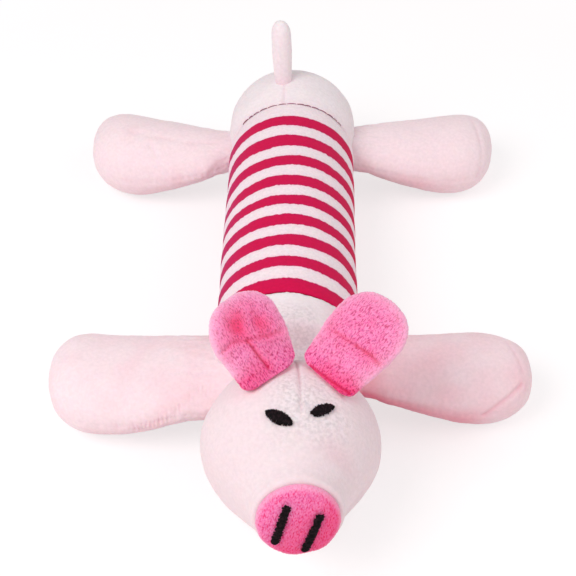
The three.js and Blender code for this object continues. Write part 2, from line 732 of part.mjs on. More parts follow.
function placeTail(torso) {
  const outOfRump = SLEEVE_RADIUS + CLEARANCE + TAIL_ROOT_WIDTH / 2;
  const group = groupIn(torso, 'tail', new THREE.Vector3(0, rearSeam + TAIL_SET, outOfRump));
  const lean = radians(TAIL_LEAN);
  const along = new THREE.Vector3(0, Math.cos(lean), Math.sin(lean));
  const hinge = new THREE.Vector3(1, 0, 0);
  const spine = new THREE.Vector3(0, 1, 0);
  [along, hinge].forEach((direction) => direction.applyAxisAngle(spine, radians(TAIL_SWAY)));
  aim(group, along, hinge);
  return group;
}

function placeNeck(toy) {
  const neck = groupIn(toy, 'neck', new THREE.Vector3(0, neckPlace, axisHeight));
  neck.rotation.z = radians(HEAD_YAW);
  return neck;
}

function placeHead(neck) {
  const rise = HEAD_RADIUS - FLOOR_FLAT - axisHeight;
  const head = groupIn(neck, 'head', new THREE.Vector3(0, -HEAD_REACH, rise));
  head.rotation.set(radians(-HEAD_PITCH), radians(HEAD_ROLL), 0);
  return head;
}

// Moves the toy so that its origin is in the middle of its base.
function centreOnBase(toy) {
  const box = new THREE.Box3().setFromObject(toy, true);
  const middle = box.getCenter(new THREE.Vector3());
  toy.position.set(-middle.x, -middle.y, -box.min.z);
}

function buildToy() {
  const toy = new THREE.Group();
  const torso = groupIn(toy, 'torso', new THREE.Vector3(0, 0, axisHeight));
  torso.rotation.y = radians(TORSO_ROLL);
  const squeaker = groupIn(toy, 'squeaker', torso.position);
  const neck = placeNeck(toy);
  const head = placeHead(neck);
  const snout = groupIn(head, 'snout', new THREE.Vector3());
  snout.rotation.y = radians(SNOUT_ROLL);
  const legs = LEGS.map((leg) => placeLeg(toy, leg));
  const ears = EARS.map((ear) => placeEar(head, ear));
  const tail = placeTail(torso);
  toy.updateMatrixWorld(true);

  addTorsoCovers(torso, floorSeenFrom(torso, toy));
  addTorsoFilling(torso, squeaker);
  addSqueaker(squeaker);
  addHeadCovers(head, neck, floorSeenFrom(head, toy));
  addEyes(head);
  addSnout(snout);
  LEGS.forEach((leg, k) => addLeg(legs[k], leg, floorSeenFrom(legs[k], toy)));
  EARS.forEach((ear, k) => addEar(ears[k], ear));
  addTail(tail);
  centreOnBase(toy);
  return toy;
}

export default buildToy();
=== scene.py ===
"""A plush squeaking pig, lying splayed on its belly: cloth, stitches, filling, light and camera.

Sizes are in millimetres, and each point becomes metres as its mesh is made. The forms repeat the
part's own sizes, so each cover lies on the solid that it stands for.
"""
import itertools
import json
import math
from types import SimpleNamespace as Form

import bmesh
import bpy
import numpy as np
from mathutils import Matrix, Vector
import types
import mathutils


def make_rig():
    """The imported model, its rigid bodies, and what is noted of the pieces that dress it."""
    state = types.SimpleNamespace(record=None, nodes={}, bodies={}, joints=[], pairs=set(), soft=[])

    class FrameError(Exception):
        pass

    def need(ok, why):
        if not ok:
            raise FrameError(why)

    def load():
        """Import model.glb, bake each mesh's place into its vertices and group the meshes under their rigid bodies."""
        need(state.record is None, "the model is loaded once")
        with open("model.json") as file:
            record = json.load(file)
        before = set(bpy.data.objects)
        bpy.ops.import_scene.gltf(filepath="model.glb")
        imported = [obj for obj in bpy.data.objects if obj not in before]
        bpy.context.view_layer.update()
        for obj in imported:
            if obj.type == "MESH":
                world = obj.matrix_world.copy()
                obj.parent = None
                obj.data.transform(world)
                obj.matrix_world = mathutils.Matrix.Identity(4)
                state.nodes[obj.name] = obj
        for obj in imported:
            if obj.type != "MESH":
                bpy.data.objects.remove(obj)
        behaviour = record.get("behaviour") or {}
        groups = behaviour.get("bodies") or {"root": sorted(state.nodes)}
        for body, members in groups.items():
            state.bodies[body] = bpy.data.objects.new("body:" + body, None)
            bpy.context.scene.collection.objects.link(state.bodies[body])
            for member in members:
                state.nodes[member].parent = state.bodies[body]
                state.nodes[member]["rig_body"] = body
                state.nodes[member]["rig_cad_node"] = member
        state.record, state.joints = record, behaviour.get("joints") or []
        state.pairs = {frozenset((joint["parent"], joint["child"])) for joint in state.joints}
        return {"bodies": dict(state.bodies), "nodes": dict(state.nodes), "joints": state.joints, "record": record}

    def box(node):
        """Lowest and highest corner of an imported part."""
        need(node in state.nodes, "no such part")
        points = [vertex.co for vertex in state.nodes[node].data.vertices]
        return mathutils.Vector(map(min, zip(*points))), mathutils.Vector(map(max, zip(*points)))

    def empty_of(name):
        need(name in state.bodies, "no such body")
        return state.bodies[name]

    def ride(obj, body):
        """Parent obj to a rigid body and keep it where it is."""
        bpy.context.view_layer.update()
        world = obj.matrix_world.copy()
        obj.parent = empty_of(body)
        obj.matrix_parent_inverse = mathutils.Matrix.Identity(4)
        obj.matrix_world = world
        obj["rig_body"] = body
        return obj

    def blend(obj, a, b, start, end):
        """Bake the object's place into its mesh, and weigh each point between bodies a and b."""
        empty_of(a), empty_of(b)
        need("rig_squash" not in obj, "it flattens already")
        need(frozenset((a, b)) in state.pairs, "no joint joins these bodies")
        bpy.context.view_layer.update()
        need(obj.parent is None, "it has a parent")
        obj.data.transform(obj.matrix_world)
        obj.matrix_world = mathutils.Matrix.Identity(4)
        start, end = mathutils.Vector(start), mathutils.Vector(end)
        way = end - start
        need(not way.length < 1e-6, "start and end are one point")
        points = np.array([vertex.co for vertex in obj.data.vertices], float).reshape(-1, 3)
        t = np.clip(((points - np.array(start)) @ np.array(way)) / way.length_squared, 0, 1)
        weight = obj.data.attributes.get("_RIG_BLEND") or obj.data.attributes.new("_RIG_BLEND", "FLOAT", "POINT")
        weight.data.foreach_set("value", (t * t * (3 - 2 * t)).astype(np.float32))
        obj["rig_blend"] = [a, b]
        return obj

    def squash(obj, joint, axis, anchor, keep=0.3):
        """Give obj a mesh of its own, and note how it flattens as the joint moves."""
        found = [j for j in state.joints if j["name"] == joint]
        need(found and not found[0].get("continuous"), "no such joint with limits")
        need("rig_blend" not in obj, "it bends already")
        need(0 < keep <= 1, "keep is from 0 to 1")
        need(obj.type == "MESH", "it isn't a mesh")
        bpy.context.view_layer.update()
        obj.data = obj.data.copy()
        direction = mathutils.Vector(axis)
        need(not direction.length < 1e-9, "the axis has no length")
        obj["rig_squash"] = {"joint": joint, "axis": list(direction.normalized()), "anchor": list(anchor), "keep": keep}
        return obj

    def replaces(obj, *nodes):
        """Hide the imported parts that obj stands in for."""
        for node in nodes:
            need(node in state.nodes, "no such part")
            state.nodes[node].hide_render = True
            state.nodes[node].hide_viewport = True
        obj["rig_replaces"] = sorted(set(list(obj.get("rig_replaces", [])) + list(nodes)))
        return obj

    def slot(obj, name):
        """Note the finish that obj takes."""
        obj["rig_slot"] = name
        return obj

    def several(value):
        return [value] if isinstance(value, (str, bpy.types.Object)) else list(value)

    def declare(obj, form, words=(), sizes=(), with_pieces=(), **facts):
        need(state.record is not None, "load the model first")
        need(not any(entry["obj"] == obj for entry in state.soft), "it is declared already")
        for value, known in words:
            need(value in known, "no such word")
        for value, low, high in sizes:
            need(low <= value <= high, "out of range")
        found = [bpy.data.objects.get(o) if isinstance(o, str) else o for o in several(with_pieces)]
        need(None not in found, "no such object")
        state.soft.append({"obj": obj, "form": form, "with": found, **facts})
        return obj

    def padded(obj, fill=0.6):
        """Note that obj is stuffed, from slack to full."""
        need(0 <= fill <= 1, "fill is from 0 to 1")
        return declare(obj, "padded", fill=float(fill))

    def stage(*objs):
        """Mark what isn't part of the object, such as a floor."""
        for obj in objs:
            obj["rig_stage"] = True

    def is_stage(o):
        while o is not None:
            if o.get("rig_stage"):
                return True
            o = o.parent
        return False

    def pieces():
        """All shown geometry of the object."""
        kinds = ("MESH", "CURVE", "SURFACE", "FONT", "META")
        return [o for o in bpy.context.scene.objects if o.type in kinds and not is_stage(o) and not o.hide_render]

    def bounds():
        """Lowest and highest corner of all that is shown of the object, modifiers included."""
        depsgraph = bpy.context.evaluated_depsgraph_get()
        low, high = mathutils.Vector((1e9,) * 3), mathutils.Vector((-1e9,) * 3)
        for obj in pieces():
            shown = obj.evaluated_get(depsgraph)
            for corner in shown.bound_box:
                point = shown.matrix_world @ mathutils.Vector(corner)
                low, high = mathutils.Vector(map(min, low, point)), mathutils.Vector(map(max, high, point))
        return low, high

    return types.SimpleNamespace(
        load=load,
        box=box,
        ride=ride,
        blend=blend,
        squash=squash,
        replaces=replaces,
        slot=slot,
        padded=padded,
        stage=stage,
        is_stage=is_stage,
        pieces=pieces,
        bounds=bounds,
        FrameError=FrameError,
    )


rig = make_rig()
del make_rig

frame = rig.load()
box_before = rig.bounds()

MM = 0.001
CLOTH = 1.6
CLEARANCE = 0.3

# Rings of a cover: degrees from a pole to the first, and how many there are for each of the lining
POLE_GAP = 1.5
LINING_STEP = 6
SIDES = 240

# Torso
SLEEVE_RADIUS = 29
SLEEVE_LENGTH = 131.5
FRONT_SEAM = -SLEEVE_LENGTH / 2
REAR_SEAM = SLEEVE_LENGTH / 2
SEAM_GAP = 0.08
SEAM_NIP = 0.8
NIP_REACH = 9
SEAM_CUT = 0.7
SEAM_CUT_REACH = 0.5
RUMP_STRAIGHT = 14.5
RUMP_DOME = 28
RUMP_SQUARENESS = 2.6
RUMP_SWELL = 1.1
RUMP_SWELL_REACH = 12
TORSO_ROLL = -7.5
CHEST_STRAIGHT = 14
CHEST_LAP = 1.9  # how far the chest's plush overlaps the end of the sleeve
NECK_RADIUS = 21
NECK_WRAP = 108
NECK_REACH = 29
FLARE_EASE = 0.4

# Distances from the chest seam at which the red bands of the sleeve begin and end
BANDS = [
    (1, 9), (16.1, 22.6), (29.5, 36.3), (42.9, 49.5), (56.2, 62.4),
    (69, 75.9), (83.1, 90.1), (97.6, 105.5), (113.2, 120.3),
]
RIB_SPACING = 1.1
RIB_HEIGHT = 0.05

# Head
HEAD_RADIUS = 33.6
HEAD_REACH = 31
HEAD_RISE = 4.6
HEAD_YAW = 4.9
HEAD_PITCH = 12
HEAD_ROLL = 6
SOCKET_RADIUS = NECK_RADIUS + CLEARANCE
MUZZLE_START = 44
MUZZLE_LENGTH = 38.5
MUZZLE_RADIUS = 16.6
MUZZLE_TAPER = 6
LIP_DEPTH = 2
LIP_WIDTH = 2.2
LIP_END = 12
LIP_RINGS = 9
# Where the cloth is drawn in beside the muzzle: polar and clock angles, their reaches, and depth
JAW_DIPS = [(60, -125, 24, 36, 3.6), (56, 116, 17, 26, 4.2)]

# Face
SNOUT_RADIUS = 14.8
SNOUT_RIM = 1.8
SNOUT_DOME = 2.6
SNOUT_ROLL = 10
SNOUT_SIDES = 264
NOSTRIL_LENGTH = 17.4
NOSTRIL_WIDTH = 2.65
NOSTRIL_LIFT = 0.25
NOSTRIL_ARCH = 0.8
NOSTRILS = {
    "left": Form(middle=5.45, rise=-2, turn=4),
    "right": Form(middle=-6.25, rise=-0.9, turn=0),
}
EYE_LIFT = 0.15
EYE_ARCH = 0.6
EYES = {
    "left": Form(polar=63, clock=14.5, slant=34, length=10, width=3.9),
    "right": Form(polar=57.2, clock=-16, slant=-37, length=10.8, width=4.5),
}

# Threads: satin stitch, and the rump seam's running stitches, with lengths and gaps in degrees
SATIN_SPACING = 0.36
SATIN_RADIUS = 0.26
SATIN_ENDS = (-0.25, 0.35)
SATIN_STRAY = 0.12
STITCHED_FROM, STITCHED_TO = -47, 61
STITCH_LENGTH = (4, 9)
STITCH_GAP = (0.4, 1.6)
STITCH_RADIUS = (0.13, 0.26)
STITCH_SINK = 1
STITCH_ARCH = 0.25

# Terry: loops, the gaps that open between them, with painted shade, and how far its streaks are drawn out
LOOP_WIDTH = 0.7
LOOP_SPREAD = 0.62
LOOP_JITTER = (0.5, 0.6)
LOOP_RELIEF = 0.22
LOOP_SINK = 0.1
SPECK_LENGTH = 1.5
SPECK_WIDTH = 0.72
SPECK_SPREAD = 0.3
SPECK_JITTER = (1, 1)
SPECK_SINK = 0.15
NAP_STRETCH = 0.4


def crease(depth, width, mark, *path, pucker=None):
    """A line pressed into the cloth through some points, and how strongly its painted shade shows."""
    return Form(depth=depth, width=width, mark=mark, path=path, pucker=pucker)


# Limbs, each in its own frame from its hinge: along, across and up. A leg's tint is painted light
# and shade: all over, lighter or darker as the light falls on that leg, and painted shade on its
# underside and at its root. Its cloth is drawn in at the nose side of the root, where the reach says,
# and at the tail side of the toe, and swells at the tail side of the root.
SQUARENESS = 2.4
LEG_TIP = 20
LEG_MESH = {"spacing": 0.42, "tip_rings": 60, "sides": 152, "squareness": 2.1}
LEG_BEND = (-5, 9)
REST_DEPTH = 0.5
ROOT_SHARE = 0.68
DRAW_EASE = 0.3
TOE_REACH = (26, 6)
LEGS = {
    "front_left": Form(
        side=1, length=63, splay=5.9, width=(33, 42), thickness=(16, 31.6),
        tint=0.1, under_tint=0.55, root_tint=0.45, draw=6, reach=2, swell=0, toe=4.5, creases=[
            crease(
                0.8, 1, 0.5, (57, -7.5, -0.6), (51.6, -12.8, -2.4), (48, -15, -3.9),
                (42, -16.6, -8.7),
            ),
            crease(0.35, 1.2, 0.2, (52.2, 10.1, 6), (56, 2.4, 4.7), (57.7, -2.8, 2)),
        ],
    ),
    "front_right": Form(
        side=-1, length=56.2, splay=9.5, width=(45, 46.4), thickness=(22, 31.6),
        tint=0, under_tint=0.055, root_tint=0.045, draw=7, reach=11, swell=0.24, toe=0, creases=[
            crease(
                0.5, 2.4, 0.2, (24.8, 18.9, -8.2), (17.4, 19.1, -7.2), (8.7, 19.8, -3.4),
                (3.9, 19, 1.7), (-1.1, 17.3, 5.2), (-7.6, 13.7, 7.7), (-11.7, 12.1, 8.9), pucker=1.7,
            ),
        ],
    ),
    "rear_left": Form(
        side=1, length=60.8, splay=11.5, width=(33, 44.8), thickness=(16, 33),
        tint=-0.06, under_tint=0.2, root_tint=0, draw=6.5, reach=1, swell=0, toe=0, creases=[
            crease(
                0.35, 1.3, 0.25, (50.8, 13.9, 7.1), (53.5, 2.6, 4.5), (54.3, -5.3, -1.6),
                (52.2, -9.2, -8.3),
            ),
        ],
    ),
    "rear_right": Form(
        side=-1, length=60.8, splay=13.2, width=(33, 44.8), thickness=(16, 33),
        tint=-0.03, under_tint=0.044, root_tint=0, draw=11.5, reach=1.5, swell=0, toe=0, creases=[
            crease(
                0.35, 1.6, 0.12, (40.5, -5.9, 8.5), (26.2, -2, 8), (13.9, 1.7, 7.9),
                (1.9, 2.5, 8),
            ),
            crease(0.4, 1.6, 0.12, (30.6, 2.7, 6.6), (25.4, 11.3, 2.4), (22.5, 14.2, -0.7)),
        ],
    ),
}
# How a leg's root is stretched or trimmed to meet the torso
SEWN_REACH = 6
SEWN_DEPTH = 0.9
SEWN_STRETCH = 9

EAR = {"width": (25.7, 30.5), "thickness": (5.4, 6.4), "tip": 15, "drop": 0}
EAR_MESH = {"spacing": 0.24, "tip_rings": 72, "sides": 270, "squareness": 2.5}
EAR_BEND = (-2.5, 6)
EAR_START = -3.6
EAR_CORNER = 4.5
EARS = {
    "left": Form(
        side=1, length=33.1, lean=21, splay=4.6,
        outer=(78.6, 31.3), inner=(105.9, 6), dents=[], creases=[
            crease(0.6, 0.8, 0.6, (12, -7.4), (13.1, 2.6)),
            crease(0.7, 0.7, 0.85, (13.1, 2.6), (13.8, 9.5), (13.3, 13.9)),
            crease(0.4, 0.8, 1, (-3.2, -7), (-2.4, 4.2), (-1.6, 11.4)),
        ],
    ),
    "right": Form(
        side=-1, length=28.7, lean=29.5, splay=-2.8,
        outer=(81.6, -32.5), inner=(103.9, -3.4), creases=[
            crease(0.8, 0.65, 1, (11.9, -2.6), (6.3, -2), (0.1, -1)),
            crease(0.6, 0.8, 0.6, (13.4, -13), (14.6, -8.2), (12.2, -2.3), (9.7, 5), (8.5, 11.2)),
        ],
        dents=[
            Form(at=(18.8, -2.9), depth=1, width=4.2),
            Form(at=(15.9, 4.8), depth=0.7, width=3.6),
        ],
    ),
}
TAIL = Form(length=26, width=(8, 9.2), thickness=(7.4, 9.4), tip=9, drop=0, shear=0)
TAIL_MESH = {"spacing": 0.6, "tip_rings": 26, "sides": 64, "squareness": 2}
TAIL_BEND = (-3.5, 6)
TAIL_LINING_STEP = 5
TAIL_START = -6.5
TAIL_SET = 17.5
TAIL_STAND = 3.3
TAIL_LEAN = 75
TAIL_SWAY = 4

# Filling and squeaker
FIBRE_EDGE = 6
FIBRE_SINK = 0.12
BELLOWS_FOLDS = 3
BELLOWS_DEPTH = 3.4
BELLOWS_WALL = 0.8
BELLOWS_SIDES = 72
BELLOWS_FOLD_RINGS = 20

# Stage, in metres. The camera's places are from the middle of the sleeve.
FLOOR_REACH = 2
FLOOR_COLOUR = (0.95, 0.88, 0.89, 1)
FLOOR_GLOW = 1.16
FLOOR_FADE = {"From_Min": 0.3, "From_Max": 0.8, "To_Min": 0.57, "To_Max": 1}
SKY_LIGHT = 0.5
LIGHT_TARGET = Vector((0, 0, 0.02))
LIGHTS = {
    "key": Form(spot=(-0.55, -0.45, 0.85), size=0.7, power=6.3),
    "fill": Form(spot=(0.7, -0.2, 0.7), size=0.8, power=2),
}
CAMERA_LENS = 86
CAMERA_SENSOR = 36
CAMERA_SPOT = (0.008, -0.46465, 0.4183)
CAMERA_TARGET = (0, -0.03105, 0.029)


# Random surfaces

def vectors(*parts):
    """Points or directions, from their parts."""
    return np.stack(np.broadcast_arrays(*parts), -1)


def xyz(points):
    return np.moveaxis(points, -1, 0)


def unit(directions):
    return directions / np.maximum(np.linalg.norm(directions, axis=-1, keepdims=True), 1e-9)


def clamp(value):
    return np.clip(value, 0, 1)


def smooth(low, high, value):
    share = clamp((value - low) / (high - low))
    return share * share * (3 - 2 * share)


def hump(far, width):
    """1 at a line or spot, and next to nothing beyond the given width."""
    return np.exp(-((far / width) ** 2))


def cell_random(cells, seed):
    """A repeatable value from 0 to 1 for each whole-number cell."""
    parts = cells.astype(np.int64).astype(np.uint32)
    value = np.full(parts.shape[:-1], seed * 7919 + 17, np.uint32)
    for axis in range(parts.shape[-1]):
        value = (value ^ parts[..., axis]) * np.uint32(2246822519)
        value = (value ^ (value >> np.uint32(15))) * np.uint32(3266489917)
        value = value ^ (value >> np.uint32(13))
    return value / 2.0**32


def noise(points, size, seed):
    """Smooth random hills about -1 to 1 high, of the given size in millimetres."""
    scaled = points / size
    base = np.floor(scaled)
    part = scaled - base
    ease = part**3 * (part * (part * 6 - 15) + 10)
    total = np.zeros(points.shape[:-1])
    for corner in itertools.product((0, 1), repeat=3):
        offset = np.array(corner)
        weight = np.prod(np.where(offset == 1, ease, 1 - ease), axis=-1)
        slopes = np.stack([cell_random(base + offset, seed + k) for k in range(3)], -1) * 2 - 1
        total += weight * ((part - offset) * slopes).sum(-1)
    return total * 1.6


def hills(points, *layers):
    """Layers of noise, each with its height, size and seed."""
    return sum(height * noise(points, size, seed) for height, size, seed in layers)


def pile(points, height, seed):
    """The short uneven pile of plush and the lumps of the filling under it."""
    return hills(
        points, (0.45, 17, seed), (0.16, 6.5, seed + 9),
        (height, 1.5, seed + 20), (0.6 * height, 0.8, seed + 30),
    )


def scattered(rows, steps, seed, jitter, stagger=0):
    """Offsets from a random spot in each cell nearby, and three more random values of the cell."""
    for row, step in itertools.product((-1, 0, 1), repeat=2):
        cell_row = np.floor(rows) + row
        shift = stagger * np.mod(cell_row, 2)
        cell_step = np.floor(steps - shift) + step
        chances = [cell_random(vectors(cell_row, cell_step), seed + k) for k in range(5)]
        row_off = rows - cell_row - 0.5 - jitter[0] * (chances[0] - 0.5)
        step_off = steps - cell_step - shift - 0.5 - jitter[1] * (chances[1] - 0.5)
        yield row_off, step_off, chances[2:]


def loops(along, across, seed, length):
    """Height from 0 to 1 of staggered terry loops that lie along the first direction."""
    height = np.zeros(along.shape)
    cells = scattered(across / LOOP_WIDTH, along / length, seed, LOOP_JITTER, stagger=0.5)
    for row_off, step_off, (tall, *_) in cells:
        far = (row_off**2 + step_off**2) / LOOP_SPREAD**2
        height = np.maximum(height, (0.65 + 0.35 * tall) * clamp(1 - far))
    return height


def specks(along, across, seed, share):
    """Marks from 0 to 1 of painted shade in the short gaps that open here and there between terry loops."""
    mark = np.zeros(along.shape)
    cells = scattered(across / SPECK_WIDTH, along / SPECK_LENGTH, seed, SPECK_JITTER)
    for row_off, step_off, (long, shown, dark) in cells:
        far = (row_off / SPECK_SPREAD) ** 2 + (step_off / (0.22 + 0.2 * long)) ** 2
        mark = np.maximum(mark, (shown < share) * (0.35 + 0.65 * dark) * clamp(1 - far))
    return mark


def line_distance(points, path):
    nearest = np.full(points.shape[:-1], 1e9)
    for start, stop in zip(path, path[1:]):
        run = np.subtract(stop, start)
        share = clamp((points - start) @ run / (run @ run))
        nearest = np.minimum(nearest, np.linalg.norm(points - start - share[..., None] * run, axis=-1))
    return nearest


# Rings and meshes

def place(matrix, points):
    """Points in a local frame, in the part's frame."""
    array = np.array(matrix)
    return points @ array[:3, :3].T + array[:3, 3]


def turned(axis, degrees):
    return Matrix.Rotation(math.radians(degrees), 4, axis)


def normals_of(rows):
    along = np.gradient(rows, axis=0)
    around = np.roll(rows, -1, axis=1) - np.roll(rows, 1, axis=1)
    normal = unit(np.cross(around, along))
    outward = rows - rows.mean(axis=1, keepdims=True)
    return normal if (normal * outward).sum() > 0 else -normal


def moved(rows, normals, height):
    return rows + normals * height[..., None]


def eased(value, softness):
    """The value where it is above zero and zero elsewhere, with a soft bend between."""
    return 0.5 * (value + np.sqrt(value**2 + softness**2))


def rested(rows, floor=0, softness=0.12):
    """Rows with what lies below the floor pressed flat on it."""
    out = rows.copy()
    out[..., 2] = floor + eased(rows[..., 2] - floor, softness)
    return out


def every(count, step):
    """Numbers of every so many rings, and of the last."""
    return np.unique(np.append(np.arange(0, count, step), count - 1))


def lining(base, normals, pick, where):
    """The inside of a cover's cloth, on a pick of its rings."""
    return place(where, base[pick] - CLOTH * normals[pick])


def add_vectors(mesh, name, vectors):
    layer = mesh.attributes.new(name, "FLOAT_VECTOR", "POINT")
    layer.data.foreach_set("vector", (vectors * MM).astype(np.float32).ravel())


def add_nap(obj, along, across, out):
    """Places for terry's streaks, drawn out along its loops. The poles take the first two."""
    nap = vectors(NAP_STRETCH * along, across, out).reshape(-1, 3)
    add_vectors(obj.data, "nap", np.vstack([nap, nap[:2]]))


def linked(name, data):
    obj = bpy.data.objects.new(name, data)
    bpy.context.scene.collection.objects.link(obj)
    return obj


def mesh_object(name, points, faces, material, values=None):
    mesh = bpy.data.meshes.new(name)
    mesh.from_pydata((points * MM).tolist(), [], faces)
    mesh.validate()
    for title, numbers in (values or {}).items():
        layer = mesh.attributes.new(title, "FLOAT", "POINT")
        layer.data.foreach_set("value", numbers.astype(np.float32))
    add_vectors(mesh, "rest", points)
    mesh.shade_smooth()
    mesh.materials.append(material)
    turn_out(mesh)
    return linked(name, mesh)


def turn_out(mesh):
    """Flips the mesh if its faces look inwards."""
    shape = bmesh.new()
    shape.from_mesh(mesh)
    if shape.calc_volume(signed=True) < 0:
        bmesh.ops.reverse_faces(shape, faces=shape.faces)
        shape.to_mesh(mesh)
    shape.free()


def ring_faces(count, sides):
    """Numbers of the points on rings, of the ones after them, and the faces between the rings."""
    index = np.arange(count * sides).reshape(count, sides)
    after = np.roll(index, -1, axis=1)
    quads = vectors(index[:-1], after[:-1], after[1:], index[1:]).reshape(-1, 4).tolist()
    return index, after, quads


def skin(name, rows, poles, material, values=None):
    """A closed skin over rings: a fan to each pole, or the ends joined where there is none.

    A value is zero on the rings that it doesn't reach.
    """
    index, after, faces = ring_faces(*rows.shape[:2])
    points = rows.reshape(-1, 3)
    numbers = {}
    for title, grid in (values or {}).items():
        grid = np.pad(grid, ((0, len(rows) - len(grid)), (0, 0)))
        ends = (grid[0].mean(), grid[-1].mean()) if poles else ()
        numbers[title] = np.append(grid, ends)
    if poles:
        first = len(points)
        points = np.vstack([points, *poles])
        faces += [[first, b, a] for a, b in zip(index[0].tolist(), after[0].tolist())]
        faces += [[first + 1, a, b] for a, b in zip(index[-1].tolist(), after[-1].tolist())]
    else:
        faces += vectors(index[-1], after[-1], after[0], index[0]).tolist()
    return mesh_object(name, points, faces, material, numbers)


def shell(name, outer, inner, poles, material, values):
    """A cloth cover: rings of the outside and then, from the rim back, of the inside."""
    return skin(name, np.concatenate([outer, inner[::-1]]), poles, material, values)


# Materials. A colour is three values from 0 to 255, or a linear colour with its alpha.

WHITE = (1, 1, 1, 1)


def grey(level):
    return (level, level, level, 1)


def linear(colour):
    if len(colour) == 4:
        return colour
    shares = [value / 255 for value in colour]
    return tuple(x / 12.92 if x <= 0.04045 else ((x + 0.055) / 1.055) ** 2.4 for x in shares) + (1,)


class Nodes:
    """A tree's nodes, added one at a time. An input is a value or another node's output."""

    def __init__(self, tree):
        self.tree = tree

    def feed(self, sockets, values):
        for socket, value in zip(sockets, values):
            if isinstance(value, bpy.types.NodeSocket):
                self.tree.links.new(value, socket)
            else:
                socket.default_value = linear(value) if isinstance(value, tuple) else value

    def set(self, node, **inputs):
        self.feed([node.inputs[title.replace("_", " ")] for title in inputs], inputs.values())
        return node

    def add(self, kind, **inputs):
        return self.set(self.tree.nodes.new("ShaderNode" + kind), **inputs)

    def math(self, operation, first, second):
        node = self.add("Math")
        node.operation = operation
        self.feed(node.inputs, (first, second))
        return node.outputs[0]

    def mix_shaders(self, factor, first, second):
        node = self.add("MixShader")
        self.feed(node.inputs, (factor, first.outputs[0], second.outputs[0]))
        return node.outputs[0]


class Paint(Nodes):
    """A material and its nodes."""

    def __init__(self, name):
        self.material = bpy.data.materials.new(name)
        self.material.use_nodes = True
        super().__init__(self.material.node_tree)

    def attribute(self, name, output="Fac"):
        node = self.add("Attribute")
        node.attribute_name = name
        return node.outputs[output]

    def mix(self, factor, first, second, blend="MIX"):
        node = self.add("Mix")
        node.data_type = "RGBA"
        node.blend_type = blend
        self.feed((node.inputs[0], node.inputs[6], node.inputs[7]), (factor, first, second))
        return node.outputs[2]

    def shaded(self, colour, shade):
        return self.mix(1, colour, shade, "MULTIPLY")

    def ramp(self, factor, *stops):
        node = self.add("ValToRGB", Fac=factor)
        elements = node.color_ramp.elements
        while len(elements) < len(stops):
            elements.new(0.5)
        for element, (spot, colour) in zip(elements, stops):
            element.position = spot
            element.color = linear(colour)
        return node.outputs[0]

    def grain(self, scale, detail=2, name="rest"):
        spot = self.attribute(name, "Vector")
        return self.add("TexNoise", Scale=scale, Detail=detail, Vector=spot).outputs[0]

    def finish(self, colour, bump_scale, bump_strength, bump_depth, **inputs):
        bump = self.add(
            "Bump", Height=self.grain(bump_scale), Strength=bump_strength, Distance=bump_depth,
        )
        surface = self.tree.nodes["Principled BSDF"]
        self.set(surface, Base_Color=colour, Normal=bump.outputs[0], **inputs)
        return self.material


SOFT = {
    "Roughness": 0.92, "Specular_IOR_Level": 0.15, "Sheen_Roughness": 0.45,
    "Subsurface_Weight": 0.12, "Subsurface_Scale": 0.002,
}


def plush(name, colour, deep):
    paint = Paint(name)
    # The tint mixes in the deep colour, mostly as painted shade in creases, seams and undersides.
    base = paint.mix(paint.attribute("tint"), colour, deep)
    light = paint.ramp(paint.grain(700, 3), (0.3, (0.95, 0.945, 0.947, 1)), (0.7, grey(1.02)))
    tufts = paint.ramp(paint.grain(800, 4), (0.36, (0.74, 0.73, 0.735, 1)), (0.6, WHITE))
    fuzz = paint.shaded((241, 229, 232), tufts)
    base = paint.mix(paint.attribute("fuzz"), paint.shaded(base, light), fuzz)
    return paint.finish(base, 1500, 0.35, 0.0003, Sheen_Weight=0.25, **SOFT)


def terry(name, streak_colour, speck_shade_colour):
    paint = Paint(name)
    # Painted shade in the valleys between the loops, lighter on their tops.
    loop = paint.ramp(
        paint.attribute("pile"), (0, (240, 106, 168)), (0.3, (251, 128, 184)), (1, (254, 154, 200)),
    )
    # The tint is mostly painted shade, towards a deeper pink.
    base = paint.mix(paint.attribute("tint"), loop, (246, 46, 112))
    shade = paint.ramp(
        paint.grain(2300, 1, "nap"),
        (0.36, streak_colour), (0.46, (251, 243, 248)), (0.66, (255, 255, 255)),
    )
    base = paint.shaded(base, shade)
    # Painted shade in the gaps between loops and along the folds, and a painted sheen along the rim.
    marks = {"speck": speck_shade_colour, "fold": (206, 22, 74), "rim": (255, 202, 226)}
    for mark, colour in marks.items():
        base = paint.mix(paint.attribute(mark), base, colour)
    return paint.finish(base, 2500, 0.3, 0.0002, Sheen_Weight=0.2, **SOFT)


def knit(name):
    """Stripes whose uneven edges run through the middle of the ramps."""
    paint = Paint(name)
    wobble = paint.math("MULTIPLY", paint.math("SUBTRACT", paint.grain(520), 0.5), 1.3)
    edge = paint.math("ADD", paint.attribute("band"), wobble)
    share = paint.math("ADD", paint.math("MULTIPLY", edge, 0.1), 0.5)
    crimson = paint.ramp(
        share, (0.3, (249, 230, 235)), (0.46, (249, 220, 229)), (0.492, (242, 182, 203)),
        (0.508, (184, 28, 90)), (0.56, (208, 16, 78)), (0.8, (210, 14, 76)),
    )
    # A painted sheen turns the bands purple down one side.
    sheen_purple = paint.ramp(
        share, (0.46, (249, 224, 234)), (0.492, (236, 186, 210)), (0.508, (154, 42, 106)),
        (0.56, (182, 36, 106)),
    )
    colour = paint.mix(paint.attribute("side"), crimson, sheen_purple)
    shade = paint.ramp(paint.grain(900, 3), (0.3, grey(0.92)), (0.7, grey(1.03)))
    return paint.finish(paint.shaded(colour, shade), 1800, 0.25, 0.0002, Sheen_Weight=0.05, **SOFT)


def plain(name, colour, roughness, scale, depth):
    paint = Paint(name)
    light = paint.ramp(paint.grain(scale), (0.3, grey(0.92)), (0.7, grey(1.04)))
    return paint.finish(paint.shaded(colour, light), scale * 2, 0.3, depth, Roughness=roughness)


